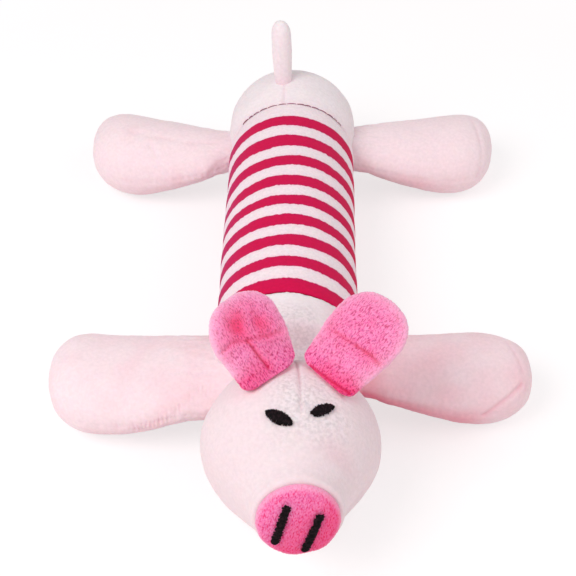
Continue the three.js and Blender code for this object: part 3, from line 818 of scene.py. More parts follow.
def embroidery(name, dark, shine):
    """Dark thread with painted highlights here and there, where its strands would catch the light."""
    paint = Paint(name)
    base = paint.ramp(paint.grain(1300), (0.46, dark), (0.7, shine))
    return paint.finish(base, 1800, 0.3, 0.0001, Roughness=0.5, Specular_IOR_Level=0.08)


HEAD_PLUSH = plush("head_plush", (242, 222, 226), (236, 190, 200))
LEG_PLUSH = plush("leg_plush", (251, 227, 232), (246, 138, 160))
RUMP_PLUSH = plush("rump_plush", (246, 233, 236), (238, 200, 210))
EAR_TERRY = terry("ear_terry", (212, 112, 160), (184, 44, 118))
SNOUT_TERRY = terry("snout_terry", (246, 138, 180), (232, 70, 138))
KNIT = knit("striped_knit")
THREAD = embroidery("black_thread", (7, 2, 4), (44, 28, 34))
SEAM_THREAD = plain("seam_thread", (150, 78, 106), 0.8, 900, 0.0001)
FIBRE = plain("loose_fibre", (246, 244, 240), 0.95, 500, 0.0005)
PLASTIC = plain("moulded_plastic", (241, 239, 230), 0.4, 200, 0.00005)


# Frames

def joint(name):
    return next(entry for entry in frame["joints"] if entry["name"] == name)


def point_of(name):
    return Vector(joint(name)["pos_m"]) / MM


neck_point = point_of("head_nod")
torso_middle = neck_point + Vector((0, NECK_REACH + SLEEVE_LENGTH / 2, 0))
TORSO = Matrix.Translation(torso_middle) @ turned("Y", TORSO_ROLL)
NECK = Matrix.Translation(neck_point) @ turned("Z", HEAD_YAW)
head_middle = Matrix.Translation((0, -HEAD_REACH, HEAD_RISE))
HEAD = NECK @ head_middle @ turned("X", -HEAD_PITCH) @ turned("Y", HEAD_ROLL)
SNOUT = HEAD @ turned("Y", SNOUT_ROLL)


# Profiles, as pairs of radius and place along Y

def revolved(profile, sides):
    """Rings about Y. Angles start at the top and turn to +X."""
    angle = 2 * math.pi * np.arange(sides) / sides
    radius, along = profile.T[..., None]
    return vectors(radius * np.sin(angle), along, radius * np.cos(angle))


def squared_circle(angle, squareness):
    """Cosine and sine of an angle, on a circle with flattened sides."""
    power = 2 / squareness
    return [np.sign(part) * np.abs(part) ** power for part in (np.cos(angle), np.sin(angle))]


def bezier(points, steps):
    share = np.linspace(0, 1, steps)[:, None]
    rows = np.repeat(np.array(points, float)[:, None], steps, axis=1)
    while len(rows) > 1:
        rows = rows[:-1] * (1 - share) + rows[1:] * share
    return rows[0]


def tube(start, end, rings):
    """The torso's wall between two places. It swells behind the rear seam, and each seam draws it in."""
    along = np.linspace(start, end, rings)
    swell = RUMP_SWELL * smooth(0, RUMP_SWELL_REACH, along - REAR_SEAM)
    nearest = np.minimum(np.abs(along - FRONT_SEAM - CHEST_LAP), np.abs(along - REAR_SEAM))
    nip = SEAM_NIP * clamp(1 - nearest / NIP_REACH) ** 2
    cut = SEAM_CUT * np.exp(-nearest / SEAM_CUT_REACH)
    return vectors(SLEEVE_RADIUS + swell - nip - cut, along)


def chest_profile():
    """From the neck's pole to the seam."""
    angle = np.radians(np.linspace(POLE_GAP, NECK_WRAP, 52))
    centre = FRONT_SEAM - NECK_REACH
    ball = vectors(NECK_RADIUS * np.sin(angle), centre - NECK_RADIUS * np.cos(angle))
    start = ball[-1]
    end = np.array([SLEEVE_RADIUS, FRONT_SEAM - CHEST_STRAIGHT])
    ease = np.array([0, (end[1] - start[1]) * FLARE_EASE])
    flare = bezier([start, start + ease, end - ease, end], 16)
    straight = tube(end[1], FRONT_SEAM + CHEST_LAP - SEAM_GAP, 38)
    return np.concatenate([ball, flare[1:], straight[1:]])


def sleeve_profile():
    return tube(FRONT_SEAM + CHEST_LAP + SEAM_GAP, REAR_SEAM - SEAM_GAP, 217)


def rump_profile():
    """From the tail end's pole to the seam."""
    ahead, out = squared_circle(np.radians(np.linspace(180 - POLE_GAP, 90, 58)), RUMP_SQUARENESS)
    along = REAR_SEAM + RUMP_STRAIGHT - RUMP_DOME * ahead
    dome = vectors((SLEEVE_RADIUS + RUMP_SWELL) * out, along)
    straight = tube(REAR_SEAM + RUMP_STRAIGHT, REAR_SEAM + SEAM_GAP, 34)
    return np.concatenate([dome, straight[1:]])


def head_profile():
    """From the nape to the muzzle's front edge."""
    angle = np.radians(np.linspace(180 - POLE_GAP, MUZZLE_START, 120))
    ball = vectors(HEAD_RADIUS * np.sin(angle), -HEAD_RADIUS * np.cos(angle))
    leave = ball[-1]
    fall = 1 / math.tan(math.radians(MUZZLE_START))
    taper = math.tan(math.radians(MUZZLE_TAPER))
    run = (leave[0] - MUZZLE_RADIUS - taper * (MUZZLE_LENGTH + leave[1])) / (fall - taper)
    bend = (leave[0] - run * fall, leave[1] - run)
    edge = LIP_DEPTH - MUZZLE_LENGTH
    blend = bezier([leave, bend, (MUZZLE_RADIUS, edge)], 30)
    turn = np.radians(np.linspace(0, 90, 8))[1:]
    lip = vectors(MUZZLE_RADIUS - LIP_WIDTH * (1 - np.cos(turn)), edge - LIP_DEPTH * np.sin(turn))
    return np.concatenate([ball, blend[1:], lip, [(LIP_END, -MUZZLE_LENGTH)]])


# Torso covers

def finish_cover(obj, body, slot, fill, *nodes):
    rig.ride(obj, body)
    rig.replaces(obj, *nodes)
    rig.slot(obj, slot)
    if fill is not None:
        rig.padded(obj, fill)


def torso_cover(name, profile, poles, material, height, seed, extra):
    """A revolved cover of the torso. Its extra is more relief, and values for its material."""
    base = revolved(profile, SIDES)
    normals = normals_of(base)
    inside = rested(lining(base, normals, every(len(base), LINING_STEP), TORSO), CLOTH)
    added, values = extra(base)
    outer = rested(place(TORSO, moved(base, normals, pile(base, height, seed) + added)))
    ends = poles and [place(TORSO, np.array((0, pole, 0))) for pole in poles]
    return shell(name, outer, inside, ends, material, values)


def sleeve_bands(base):
    """The knit's ribs, how far inside a red band each point is, and how far down the right side, where a painted sheen
    turns the bands purple.
    """
    x, y, z = xyz(base)
    angle = np.arctan2(x, z)
    gone = y - FRONT_SEAM
    gone = gone + 0.2 * np.sin(2 * angle + gone / 21) + 0.3 * noise(base, 14, 71)
    band = np.max([np.minimum(gone - start, stop - gone) for start, stop in BANDS], axis=0)
    ribs = RIB_HEIGHT * np.sin(y * 2 * math.pi / RIB_SPACING)
    down = -np.degrees(angle)
    return ribs, {"band": band, "side": smooth(20, 100, down) * smooth(178, 155, down)}


def rump_seam(base):
    """The middle seam's groove, and painted shade along both seams of the rump."""
    x, y, z = xyz(base)
    groove = hump(x, 0.7) * (z > 0)
    edge = np.exp(-(y - REAR_SEAM) / 1.8) * (z > 0)
    return -0.5 * groove, {"tint": clamp(0.35 * groove + 0.45 * edge)}


def chest_fuzz(base):
    """Longer pile on top of the chest and along its rim, and a flush on its sides."""
    x, y, z = xyz(base)
    side = np.abs(x)
    ahead = y - FRONT_SEAM
    top = smooth(8, 20, z) * smooth(-2, -10, ahead) * smooth(18, 12, side)
    edge = smooth(2.5, 0, np.abs(ahead - CHEST_LAP))
    tufts = hills(base, (0.2, 1.5, 34), (0.12, 0.9, 35))
    fuzz = clamp(0.6 * top + 0.5 * edge)
    return (0.5 * top + edge) * tufts, {"fuzz": fuzz, "tint": 0.4 * smooth(14, 22, side)}


neck_end = FRONT_SEAM - NECK_REACH - NECK_RADIUS
tail_end = REAR_SEAM + RUMP_STRAIGHT + RUMP_DOME
chest = torso_cover(
    "chest_cover", chest_profile(), (neck_end, neck_end + CLOTH), RUMP_PLUSH, 0.1, 3, chest_fuzz,
)
finish_cover(chest, "torso", "pale_plush", 0.75, "chest_panel")
sleeve = torso_cover("sleeve_cover", sleeve_profile(), None, KNIT, 0.04, 5, sleeve_bands)
finish_cover(sleeve, "torso", "striped_knit", 0.8, "striped_sleeve")
rump = torso_cover(
    "rump_cover", rump_profile(), (tail_end, tail_end - CLOTH), RUMP_PLUSH, 0.08, 8, rump_seam,
)
finish_cover(rump, "torso", "pale_plush", 0.8, "rump_panel_left", "rump_panel_right")


# Head cover

def socketed(points, radius):
    """Points with what lies inside the neck's ball moved out of it, towards the snout."""
    centre = np.array(neck_point)
    axis = unit(np.array(HEAD.translation - neck_point))
    offset = points - centre
    along = offset @ axis
    side = offset - along[..., None] * axis
    reach = np.linalg.norm(side, axis=-1)
    inside = (np.linalg.norm(offset, axis=-1) < radius) | ((along < 0) & (reach < radius))
    ahead = np.sqrt(np.clip(radius**2 - reach**2, 0, None))
    pushed = centre + side + ahead[..., None] * axis
    return np.where(inside[..., None], pushed, points)


def jaw_dip(base):
    """How far the cloth is drawn in beside the muzzle."""
    x, y, z = xyz(base)
    polar = np.degrees(np.arccos(np.clip(-y / np.linalg.norm(base, axis=-1), -1, 1)))
    clock = np.degrees(np.arctan2(x, z))
    dip = np.zeros(polar.shape)
    for dip_polar, dip_clock, polar_reach, clock_reach, depth in JAW_DIPS:
        dip += depth * hump(polar - dip_polar, polar_reach) * hump(clock - dip_clock, clock_reach)
    return dip


def head_relief(base):
    """The head's seam, the longer pile of its brow, painted shade in the seam and on the lower head, and a flush below
    one eye.
    """
    x, y, z = xyz(base)
    seam = hump(x, 0.55) * (z > 0) * smooth(-24, -12, y)
    parting = seam * smooth(-22, -4, y)
    brow = smooth(-31, -18, y) * smooth(5, -3, y) * smooth(-16, -4, x) * smooth(24, 9, x)
    brow = brow * smooth(9, 22, z)
    tufts = hills(base, (0.26, 1.5, 44), (0.16, 0.9, 45))
    relief = pile(base, 0.06, 40) - 0.6 * seam - 0.4 * parting + brow * tufts
    # Painted shade in the seam's groove, strongest towards the parting, and on the lower head, with random tone.
    tint = 0.3 * seam + 0.6 * parting + 0.06 * smooth(-4, -22, z) + 0.08 * noise(base, 12, 46)
    tint = tint + 0.5 * hump(x - 12, 6) * hump(y + 25, 3.5) * (z > 0)
    fuzz = clamp(0.7 * brow + 0.3 * brow * noise(base, 5, 47) - 0.3 * seam)
    return relief, {"tint": clamp(tint), "fuzz": fuzz}


def make_head():
    ball = revolved(head_profile(), SIDES)
    base = moved(ball, normals_of(ball), -jaw_dip(ball))
    normals = normals_of(base)
    relief, values = head_relief(ball)
    outer = rested(socketed(place(HEAD, moved(base, normals, relief)), SOCKET_RADIUS))
    lip = len(base) - LIP_RINGS
    pick = np.append(np.arange(0, lip, LINING_STEP), np.arange(lip, len(base)))
    inside = socketed(lining(base, normals, pick, HEAD), SOCKET_RADIUS + CLOTH)
    nape = place(HEAD, np.array([(0, HEAD_RADIUS, 0), (0, HEAD_RADIUS - CLOTH, 0)]))
    poles = [socketed(nape[:1], SOCKET_RADIUS)[0], socketed(nape[1:], SOCKET_RADIUS + CLOTH)[0]]
    obj = shell("head_cover", outer, rested(inside, CLOTH), poles, HEAD_PLUSH, values)
    finish_cover(obj, "head", "pale_plush", 0.8, "head_panel_left", "head_panel_right")


make_head()


# Snout

def snout_height(radius):
    return SNOUT_RIM + SNOUT_DOME * np.sqrt(clamp(1 - (radius / SNOUT_RADIUS) ** 2))


def make_snout():
    back = -(MUZZLE_LENGTH + CLEARANCE)
    under = vectors(np.linspace(1, SNOUT_RADIUS - 0.5, 12), back)
    side = vectors(SNOUT_RADIUS, np.linspace(back - 0.3, back - SNOUT_RIM, 6))
    radius = SNOUT_RADIUS * np.sin(np.radians(np.linspace(88, POLE_GAP, 52)))
    dome = vectors(radius, back - snout_height(radius))
    base = revolved(np.concatenate([under, side, dome]), SNOUT_SIDES)
    normals = normals_of(base)
    x, y, z = xyz(base)
    front = smooth(back - 0.2, back - SNOUT_RIM, y)
    loop = loops(z, x, 51, length=1.2)
    speck = front * specks(z + 0.3 * noise(base, 3, 58), x, 57, share=0.2)
    relief = LOOP_RELIEF * loop - LOOP_SINK - SPECK_SINK * speck + 0.25 * noise(base, 5, 52)
    # The tint is painted shade, deeper towards the lower right, with random tone; the rim gets a painted sheen and the
    # specks painted shade.
    tint = 0.6 * smooth(-9, 10, x - 0.6 * z) + 0.15 * noise(base, 6, 53)
    values = {
        "pile": loop + 0.15 * noise(base, 4, 54),
        "speck": speck,
        "tint": np.clip(tint, 0, 0.6),
        "rim": 0.4 * smooth(SNOUT_RADIUS - 1.6, SNOUT_RADIUS, np.hypot(x, z)),
    }
    outer = place(SNOUT, moved(base, normals, front * relief))
    poles = [place(SNOUT, np.array((0, end, 0))) for end in (back, back - SNOUT_RIM - SNOUT_DOME)]
    obj = skin("snout_pad", outer, poles, SNOUT_TERRY, values)
    add_nap(obj, z, x, y)
    finish_cover(obj, "head", "bright_terry", 0.5, "snout_disc")


make_snout()


# Embroidery

def strand(path, radius, sides=6):
    """Points and faces of a closed thread along a path."""
    tangent = unit(np.gradient(path, axis=0))
    guide = (0, 0, 1) if abs(tangent[0][2]) < 0.8 else (1, 0, 0)
    first = unit(np.cross(tangent, guide))
    second = np.cross(tangent, first)
    angle = (2 * math.pi * np.arange(sides) / sides)[:, None, None]
    ring = np.cos(angle) * first + np.sin(angle) * second
    points = (path[None] + radius * ring).transpose(1, 0, 2).reshape(-1, 3)
    index, _, faces = ring_faces(len(path), sides)
    return points, faces + [index[0, ::-1].tolist(), index[-1].tolist()]


def stitched(name, strands, material):
    points, faces, start = [], [], 0
    for thread_points, thread_faces in strands:
        points.append(thread_points)
        faces += [[corner + start for corner in face] for face in thread_faces]
        start += len(thread_points)
    return mesh_object(name, np.vstack(points), faces, material)


def satin(length, half_width, arch_height, seed):
    """Threads across a shape: their places along and across it, and their heights."""
    count = int(length / SATIN_SPACING)
    random = np.random.default_rng(seed)
    for k in range(count):
        long = -length / 2 + length * (k + 0.5) / count
        reach = half_width(long)
        left = reach + random.uniform(*SATIN_ENDS)
        right = reach + random.uniform(*SATIN_ENDS)
        short = np.linspace(-left, right, 9)
        arch = np.sqrt(clamp(1 - (short / (max(left, right) + 0.05)) ** 2))
        lean = random.uniform(-SATIN_STRAY, SATIN_STRAY) * short
        lift = 0.1 + arch_height * arch + random.uniform(0, SATIN_STRAY)
        yield long + lean, short, lift


def oval(length, width):
    """Half width along an oval with blunt points."""
    return lambda long: width / 2 * max(1 - (2 * long / length) ** 2, 0) ** 0.75


def nostril_half_width(long):
    past = max(0, abs(long) - (NOSTRIL_LENGTH / 2 - NOSTRIL_WIDTH / 2))
    return math.sqrt(max((NOSTRIL_WIDTH / 2) ** 2 - past**2, 0.1))


def eye_threads(eye, seed):
    tilt = turned("Y", eye.clock) @ turned("X", 90 - eye.polar) @ turned("Z", eye.slant)
    for long, short, lift in satin(eye.length, oval(eye.length, eye.width), EYE_ARCH, seed):
        spot = place(tilt, vectors(long, short, HEAD_RADIUS))
        yield place(HEAD, unit(spot) * (HEAD_RADIUS + EYE_LIFT + lift)[:, None])


def nostril_threads(nostril, seed):
    turn = math.tan(math.radians(nostril.turn))
    for long, short, lift in satin(NOSTRIL_LENGTH, nostril_half_width, NOSTRIL_ARCH, seed):
        x = nostril.middle + short + turn * long
        z = nostril.rise + long
        out = MUZZLE_LENGTH + CLEARANCE + snout_height(np.hypot(x, z)) + NOSTRIL_LIFT + lift
        yield place(SNOUT, vectors(x, -out, z))


def embroider(name, threads):
    strands = [strand(thread, SATIN_RADIUS) for thread in threads]
    obj = stitched(f"{name}_stitches", strands, THREAD)
    finish_cover(obj, "head", "black_thread", None, name)


def make_seam_stitches(seed):
    """Loose running stitches that show along the top of the rump's seam."""
    random = np.random.default_rng(seed)
    radius = SLEEVE_RADIUS - STITCH_SINK + STITCH_ARCH * np.sin(np.linspace(0, math.pi, 7))
    strands = []
    angle = STITCHED_FROM
    while angle < STITCHED_TO:
        reach = random.uniform(*STITCH_LENGTH)
        turn = np.radians(np.linspace(angle, angle + reach, 7))
        spot = vectors(radius * np.sin(turn), REAR_SEAM, radius * np.cos(turn))
        strands.append(strand(place(TORSO, spot), random.uniform(*STITCH_RADIUS)))
        angle += reach + random.uniform(*STITCH_GAP)
    obj = stitched("rump_seam_stitches", strands, SEAM_THREAD)
    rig.ride(obj, "torso")
    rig.slot(obj, "black_thread")


embroider("eye_left", eye_threads(EYES["left"], seed=11))
embroider("eye_right", eye_threads(EYES["right"], seed=12))
embroider("nostril_left", nostril_threads(NOSTRILS["left"], seed=13))
embroider("nostril_right", nostril_threads(NOSTRILS["right"], seed=14))
make_seam_stitches(seed=21)


# Limbs

def limb_rings(form, start, spacing, tip_rings, sides, squareness):
    """Rings across a limb in its own frame, and the heights above its sewn edge."""
    straight = form.length - form.tip
    shank = np.linspace(start, straight, int((straight - start) / spacing))
    turn = np.radians(np.linspace(0, 89, tip_rings))[1:]
    tip = straight + form.tip * np.sin(turn) ** (2 / SQUARENESS)
    along = np.concatenate([shank, tip])[:, None]
    share = clamp(along / straight)
    grown = (5 * share - share**5) / 4
    past = clamp((along - straight) / form.tip)
    rounding = (1 - past**SQUARENESS) ** (1 / SQUARENESS)
    width, thick = (
        (root + (full - root) * grown) / 2 * rounding for root, full in (form.width, form.thickness)
    )
    side, up = squared_circle(2 * math.pi * np.arange(sides) / sides, squareness)
    above = thick * up
    return vectors(along, form.shear * along + width * side, above - form.drop * grown), above


def limb_tip(form, inset=0):
    end = form.length - inset
    return np.array([end, form.shear * end, -form.drop])


def creased(points, facing, creases):
    """Depth of creases, and the mark and broad flush of painted shade along them, on the side that faces the viewer."""
    depth, mark, flush = (np.zeros(facing.shape) for _ in range(3))
    for line in creases:
        far = line_distance(points[..., :len(line.path[0])], line.path)
        near = hump(far, line.width)
        if line.pucker:
            run = points[..., 0] + 0.8 * noise(points, 5, 91)
            wave = 0.5 + 0.5 * np.sin(run * 2 * math.pi / line.pucker)
            near = near * wave * (0.6 + noise(points, 4, 92))
        shoulder = hump(far - 2.2 * line.width, line.width)
        depth += facing * line.depth * (near - 0.25 * shoulder)
        mark = np.maximum(mark, facing * line.mark * near)
        flush = np.maximum(flush, facing * line.mark * np.exp(-far / (3.2 * line.width)))
    return depth, mark, flush


def limb_cover(name, form, where, outer, inside, material, tint):
    poles = [place(where, limb_tip(form, inset)) for inset in (0, CLOTH)]
    return shell(name, outer[::-1], inside[::-1], poles, material, {"tint": tint[::-1]})


def finish_limb(obj, bodies, where, reach, slot, fill, *nodes):
    """Lets a limb's cover bend from one body to the next, over a reach along the limb."""
    start, end = (where @ Vector((spot, 0, 0)) * MM for spot in reach)
    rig.blend(obj, *bodies, start, end)
    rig.replaces(obj, *nodes)
    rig.slot(obj, slot)
    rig.padded(obj, fill)


# Legs

TORSO_PROFILE = np.concatenate([chest_profile(), sleeve_profile(), rump_profile()[::-1]])


def sewn_on(base, start, where):
    """A leg's rings with its root stretched or trimmed to end just inside the torso's cloth."""
    root = place(where, base[0]) - np.array(torso_middle)
    radius = np.interp(root[:, 1], TORSO_PROFILE[:, 1], TORSO_PROFILE[:, 0])
    surface = np.sqrt(np.maximum(radius**2 - root[:, 2] ** 2, 1))
    hinge_out = abs(where.translation.x - torso_middle.x)
    end = np.maximum(surface - hinge_out - SEWN_DEPTH, start - SEWN_STRETCH)
    x = base[..., 0]
    share = np.clip((SEWN_REACH - x) / (SEWN_REACH - start), 0, None)
    out = base.copy()
    out[..., 0] = np.where(x < SEWN_REACH, SEWN_REACH - share * (SEWN_REACH - end), x)
    return out


def leg_frame(name, leg):
    hinge = Matrix.Translation(point_of(f"leg_{name}_flop"))
    return hinge @ turned("Z", 0 if leg.side > 0 else 180)


def root_start(leg):
    return -ROOT_SHARE * leg.thickness[0]


def drawn_in(points, leg):
    """Points of a leg with its root and toe drawn in or swollen, as its sizes say."""
    x, y, _ = xyz(points)
    back = leg.side * y
    nose_side, tail_side = (clamp(way / (leg.width[0] / 2)) for way in (-back, back))
    toe_side = clamp(back / (leg.width[1] / 2))
    depth = (leg.reach - x) / (leg.reach - root_start(leg))
    blunt = toe_side**2 * smooth(*(leg.length - inset for inset in TOE_REACH), x)
    drawn = leg.draw * nose_side * eased(depth, DRAW_EASE)
    swollen = leg.swell * tail_side * np.clip(-x, 0, None)
    out = points.copy()
    out[..., 1] += leg.side * (drawn + swollen - leg.toe * blunt)
    return out


def make_leg(name, leg, seed):
    body = f"leg_{name}"
    where = leg_frame(name, leg)
    shear = leg.side * math.tan(math.radians(leg.splay))
    drop = where.translation.z - leg.thickness[1] / 2 + REST_DEPTH
    form = Form(**vars(leg), tip=LEG_TIP, shear=shear, drop=drop)
    base, up = limb_rings(form, root_start(leg), **LEG_MESH)
    base = drawn_in(base, leg)
    normals = normals_of(base)
    base = sewn_on(base, root_start(leg), where)
    x, y, _ = xyz(base)
    spot = base + np.array([311 * seed, 97 * seed, 0])
    wave = np.sin((x + 0.7 * np.abs(y)) * 1.9 + 3 * noise(spot, 9, seed + 3))
    pucker = 0.07 * np.exp(-np.abs(up) / 4) * wave
    gathers = noise(vectors(0.15 * x, 2.2 * y, up) + spot, 7, seed + 4)
    gather = 0.35 * np.exp(-np.clip(x, 0, None) / 9) * gathers
    dip, mark, flush = creased(base, np.ones(x.shape), leg.creases)
    relief = pile(spot, 0.07, seed) - 0.2 * hump(up, 0.8) + pucker + gather - dip
    # The tint is painted light and shade: the leg's own share, painted shade on its underside, at its root and along
    # its creases, and random tone.
    under = smooth(0.45, -0.35, normals[..., 2]) * smooth(50, 30, x)
    root = np.exp(-np.clip(x + 3, 0, None) / 12)
    tint = leg.tint + leg.under_tint * under + leg.root_tint * root
    tint = tint + 0.35 * mark + 0.15 * flush + 0.1 * noise(spot, 11, seed + 5)
    outer = rested(place(where, moved(base, normals, relief)))
    inside = rested(lining(base, normals, every(len(base), LINING_STEP), where), CLOTH)
    obj = limb_cover(f"{body}_cover", form, where, outer, inside, LEG_PLUSH, clamp(tint))
    nodes = f"{body}_upper_panel", f"{body}_lower_panel"
    finish_limb(obj, ("torso", body), where, LEG_BEND, "pale_plush", 0.7, *nodes)


for number, (leg_name, leg_data) in enumerate(LEGS.items()):
    make_leg(leg_name, leg_data, seed=100 + 13 * number)


# Ears and tail

def on_head(polar, clock):
    return turned("Y", clock) @ turned("X", -polar) @ Vector((0, -1, 0))


def basis(origin, along, hinge):
    turn = Matrix((along, hinge, along.cross(hinge))).transposed().to_4x4()
    return Matrix.Translation(origin) @ turn


def ear_frame(ear):
    outer, inner = on_head(*ear.outer), on_head(*ear.inner)
    upright = (outer + inner).normalized()
    hinge = ear.side * (outer - inner).normalized()
    along = turned(hinge, -ear.lean) @ upright
    out = HEAD_RADIUS + CLEARANCE + EAR["thickness"][0] / 2
    return HEAD @ basis(upright * out, along, hinge)


def corners_rounded(along, across, shear):
    """Places across an ear, drawn in near its sewn edge so that the corners there are round."""
    past = clamp((EAR_CORNER + EAR_START - along) / (EAR_CORNER + 0.9))
    middle = shear * along
    return middle + (across - middle) * (1 - past**3) ** (1 / 3)


def make_ear(name, ear, seed):
    form = Form(**vars(ear), **EAR, shear=ear.side * math.tan(math.radians(ear.splay)))
    where = ear_frame(ear)
    base, _ = limb_rings(form, EAR_START, **EAR_MESH)
    base[..., 1] = corners_rounded(base[..., 0], base[..., 1], form.shear)
    normals = normals_of(base)
    x, y, z = xyz(base)
    front = smooth(-0.1, -0.6, normals[..., 2])
    dip, mark, flush = creased(base, front, ear.creases)
    # Glow is painted shade that deepens the pink in the dents' hollows.
    hollow, glow = np.zeros(x.shape), np.zeros(x.shape)
    for dent in ear.dents:
        far = np.hypot(x - dent.at[0], (y - dent.at[1]) * 1.2) / dent.width
        hollow += front * dent.depth * hump(far, 1)
        glow = np.maximum(glow, front * dent.depth * hump(far, 1.25))
    spot = base + np.array([57 * seed, 31 * seed, 0])
    drift = y + 0.5 * noise(spot, 4, seed) + 60
    loop = loops(x + 40, drift, seed + 1, length=1.25)
    speck = specks(x + 40, drift, seed + 7, share=0.3)
    lumps = hills(spot, (0.35, 9, seed + 2), (0.2, 4, seed + 3))
    relief = LOOP_RELIEF * loop - LOOP_SINK - SPECK_SINK * speck + lumps - dip - hollow
    # The tint is painted shade: low, near the sewn edge on one side, beside the creases and in the dents, with random
    # tone.
    low = smooth(8, -2, x) * smooth(-8, 10, y * ear.side)
    tint = 0.45 * flush + 1.05 * glow + 0.45 * low + 0.2 * noise(spot, 6, seed + 5)
    # The fold is painted shade along the creases, and the rim a painted sheen along the edge.
    values = {
        "pile": loop + 0.2 * noise(spot, 3.5, seed + 4),
        "speck": speck,
        "fold": clamp(0.8 * mark**2),
        "tint": np.clip(tint, 0, 0.95),
        "rim": 0.75 * hump(z, 2) * smooth(0, 6, x),
    }
    outer = place(where, moved(base, normals, relief))
    root = np.array([EAR_START, form.shear * EAR_START, 0])
    poles = [place(where, root), place(where, limb_tip(form))]
    obj = skin(f"ear_{name}_cloth", outer, poles, EAR_TERRY, values)
    add_nap(obj, x, drift, z)
    nodes = f"ear_{name}_front_panel", f"ear_{name}_back_panel"
    finish_limb(obj, ("head", f"ear_{name}"), where, EAR_BEND, "bright_terry", 0.2, *nodes)


def make_tail(seed):
    origin = Vector((0, REAR_SEAM + TAIL_SET, SLEEVE_RADIUS + CLEARANCE + TAIL_STAND))
    sway = turned("Y", TAIL_SWAY)
    along = sway @ turned("X", TAIL_LEAN) @ Vector((0, 1, 0))
    where = TORSO @ basis(origin, along, sway @ Vector((1, 0, 0)))
    base, _ = limb_rings(TAIL, TAIL_START, **TAIL_MESH)
    normals = normals_of(base)
    outer = place(where, moved(base, normals, pile(base, 0.06, seed)))
    inside = lining(base, normals, every(len(base), TAIL_LINING_STEP), where)
    # Painted shade at the tail's root, where it meets the rump.
    tint = 0.5 * np.exp(-np.clip(base[..., 0] + 2, 0, None) / 4)
    obj = limb_cover("tail_cloth", TAIL, where, outer, inside, RUMP_PLUSH, tint)
    finish_limb(obj, ("torso", "tail"), where, TAIL_BEND, "pale_plush", 0.6, "tail_cover")


make_ear("left", EARS["left"], seed=201)
make_ear("right", EARS["right"], seed=233)
make_tail(seed=301)


# Filling and squeaker

def make_wad(node, body, seed):
    """Loose fibre that fills the room its plain solid holds."""
    shape = bmesh.new()
    shape.from_mesh(frame["nodes"][node].data)
    bmesh.ops.remove_doubles(shape, verts=shape.verts, dist=1e-5)
    long_edges = [edge for edge in shape.edges if edge.calc_length() > FIBRE_EDGE * MM]
    bmesh.ops.subdivide_edges(shape, edges=long_edges, cuts=2, use_grid_fill=True)
    bmesh.ops.triangulate(shape, faces=shape.faces)
    mesh = bpy.data.meshes.new(node + "_fibre")
    shape.to_mesh(mesh)
    shape.free()
    points = np.array([vertex.co for vertex in mesh.vertices]) / MM
    normals = np.array([vertex.normal for vertex in mesh.vertices])
    faces = [list(face.vertices) for face in mesh.polygons]
    bpy.data.meshes.remove(mesh)
    dip = FIBRE_SINK + 0.1 * noise(points, 3, seed)
    if body == "head":
        dip = dip + jaw_dip(place(HEAD.inverted(), points))
    points = moved(points, normals, -dip)
    if body.startswith("leg_"):
        name = body.removeprefix("leg_")
        where = leg_frame(name, LEGS[name])
        points = place(where, drawn_in(place(where.inverted(), points), LEGS[name]))
    obj = mesh_object(node + "_fibre", points, faces, FIBRE)
    finish_cover(obj, body, "fibre_filling", None, node)


for number, (body_name, members) in enumerate(frame["record"]["behaviour"]["bodies"].items()):
    for member in members:
        if "filling" in member:
            make_wad(member, body_name, seed=400 + number)
        if member.startswith("squeaker"):
            materials = frame["nodes"][member].data.materials
            materials.clear()
            materials.append(PLASTIC)


def make_bellows():
    """The squeaker's bellows, with rounded folds, which flattens as its cap is pressed."""
    low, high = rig.box("squeaker_bellows")
    middle = (low + high) / 2
    height = (high.z - low.z) / MM
    share = np.linspace(0, 1, BELLOWS_FOLD_RINGS * BELLOWS_FOLDS + 1)[:, None]
    fold = BELLOWS_DEPTH * (0.5 + 0.5 * np.cos(2 * math.pi * BELLOWS_FOLDS * share))
    angle = 2 * math.pi * np.arange(BELLOWS_SIDES) / BELLOWS_SIDES
    outside = (high.x - low.x) / 2 / MM - fold
    outer, inner = (
        vectors(ring * np.cos(angle), ring * np.sin(angle), height * share)
        for ring in (outside, outside - 2 * BELLOWS_WALL)
    )
    foot = np.array((middle.x, middle.y, low.z)) / MM
    rows = np.concatenate([outer, inner[::-1]]) + foot
    obj = skin("squeaker_bellows_form", rows, None, PLASTIC)
    finish_cover(obj, "torso", "squeaker_plastic", None, "squeaker_bellows")
    travel = joint("squeaker_press")["range_m"][1] / MM
    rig.squash(obj, "squeaker_press", axis=(0, 0, 1), anchor=tuple(foot * MM), keep=1 - travel / height)


make_bellows()


# Stage

def background_rays(nodes):
    """1 for the rays that show the background: from the camera, a reflection or glass."""
    path = nodes.add("LightPath").outputs
    shown = nodes.math("MAXIMUM", path["Is Camera Ray"], path["Is Glossy Ray"])
    return nodes.math("MAXIMUM", shown, path["Is Transmission Ray"])


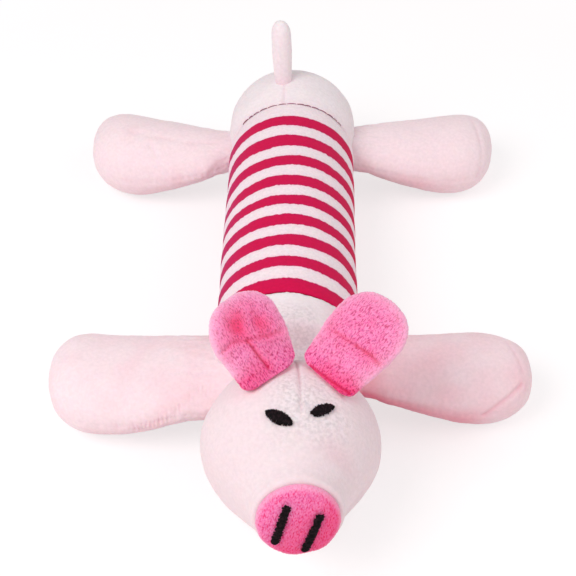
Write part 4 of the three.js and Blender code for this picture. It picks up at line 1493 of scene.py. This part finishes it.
def make_floor():
    mesh = bpy.data.meshes.new("floor")
    corners = [(-1, -1), (1, -1), (1, 1), (-1, 1)]
    mesh.from_pydata([(x * FLOOR_REACH, y * FLOOR_REACH, 0) for x, y in corners], [], [[0, 1, 2, 3]])
    floor = linked("floor", mesh)
    paint = Paint("floor_paper")
    paint.tree.nodes.clear()
    paper = paint.add("BsdfDiffuse", Color=FLOOR_COLOUR)
    glow = paint.add("Emission", Color=WHITE, Strength=FLOOR_GLOW)
    spot = paint.add("NewGeometry").outputs["Position"]
    away = paint.add("VectorMath", Vector=spot)
    away.operation = "LENGTH"
    fade = paint.add("MapRange", Value=away.outputs["Value"], **FLOOR_FADE)
    share = paint.math("MULTIPLY", background_rays(paint), fade.outputs["Result"])
    paint.add("OutputMaterial", Surface=paint.mix_shaders(share, paper, glow))
    mesh.materials.append(paint.material)
    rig.stage(floor)


def make_world():
    world = bpy.data.worlds.new("studio")
    bpy.context.scene.world = world
    world.use_nodes = True
    nodes = Nodes(world.node_tree)
    nodes.tree.nodes.clear()
    soft = nodes.add("Background", Color=WHITE, Strength=SKY_LIGHT)
    white = nodes.add("Background", Color=WHITE, Strength=1)
    sky = nodes.mix_shaders(background_rays(nodes), soft, white)
    nodes.add("OutputWorld", Surface=sky)


def aimed(name, data, spot, target):
    obj = linked(name, data)
    obj.location = spot
    obj.rotation_euler = (target - Vector(spot)).to_track_quat("-Z", "Y").to_euler()
    return obj


def make_light(name, light):
    data = bpy.data.lights.new(name, "AREA")
    data.shape = "DISK"
    data.size = light.size
    data.energy = light.power
    aimed(name, data, light.spot, LIGHT_TARGET)


def make_camera():
    data = bpy.data.cameras.new("camera")
    data.sensor_width = CAMERA_SENSOR
    data.lens = CAMERA_LENS
    low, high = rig.box("striped_sleeve")
    middle = (low + high) / 2
    middle.z = 0
    camera = aimed("camera", data, middle + Vector(CAMERA_SPOT), middle + Vector(CAMERA_TARGET))
    bpy.context.scene.camera = camera


make_floor()
make_world()
for light_name, light_data in LIGHTS.items():
    make_light(light_name, light_data)
make_camera()
bpy.context.scene.view_settings.view_transform = "Standard"

box_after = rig.bounds()
with open("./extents.json", "w") as size_file:
    json.dump({"before": [list(corner) for corner in box_before], "after": [list(corner) for corner in box_after]}, size_file)
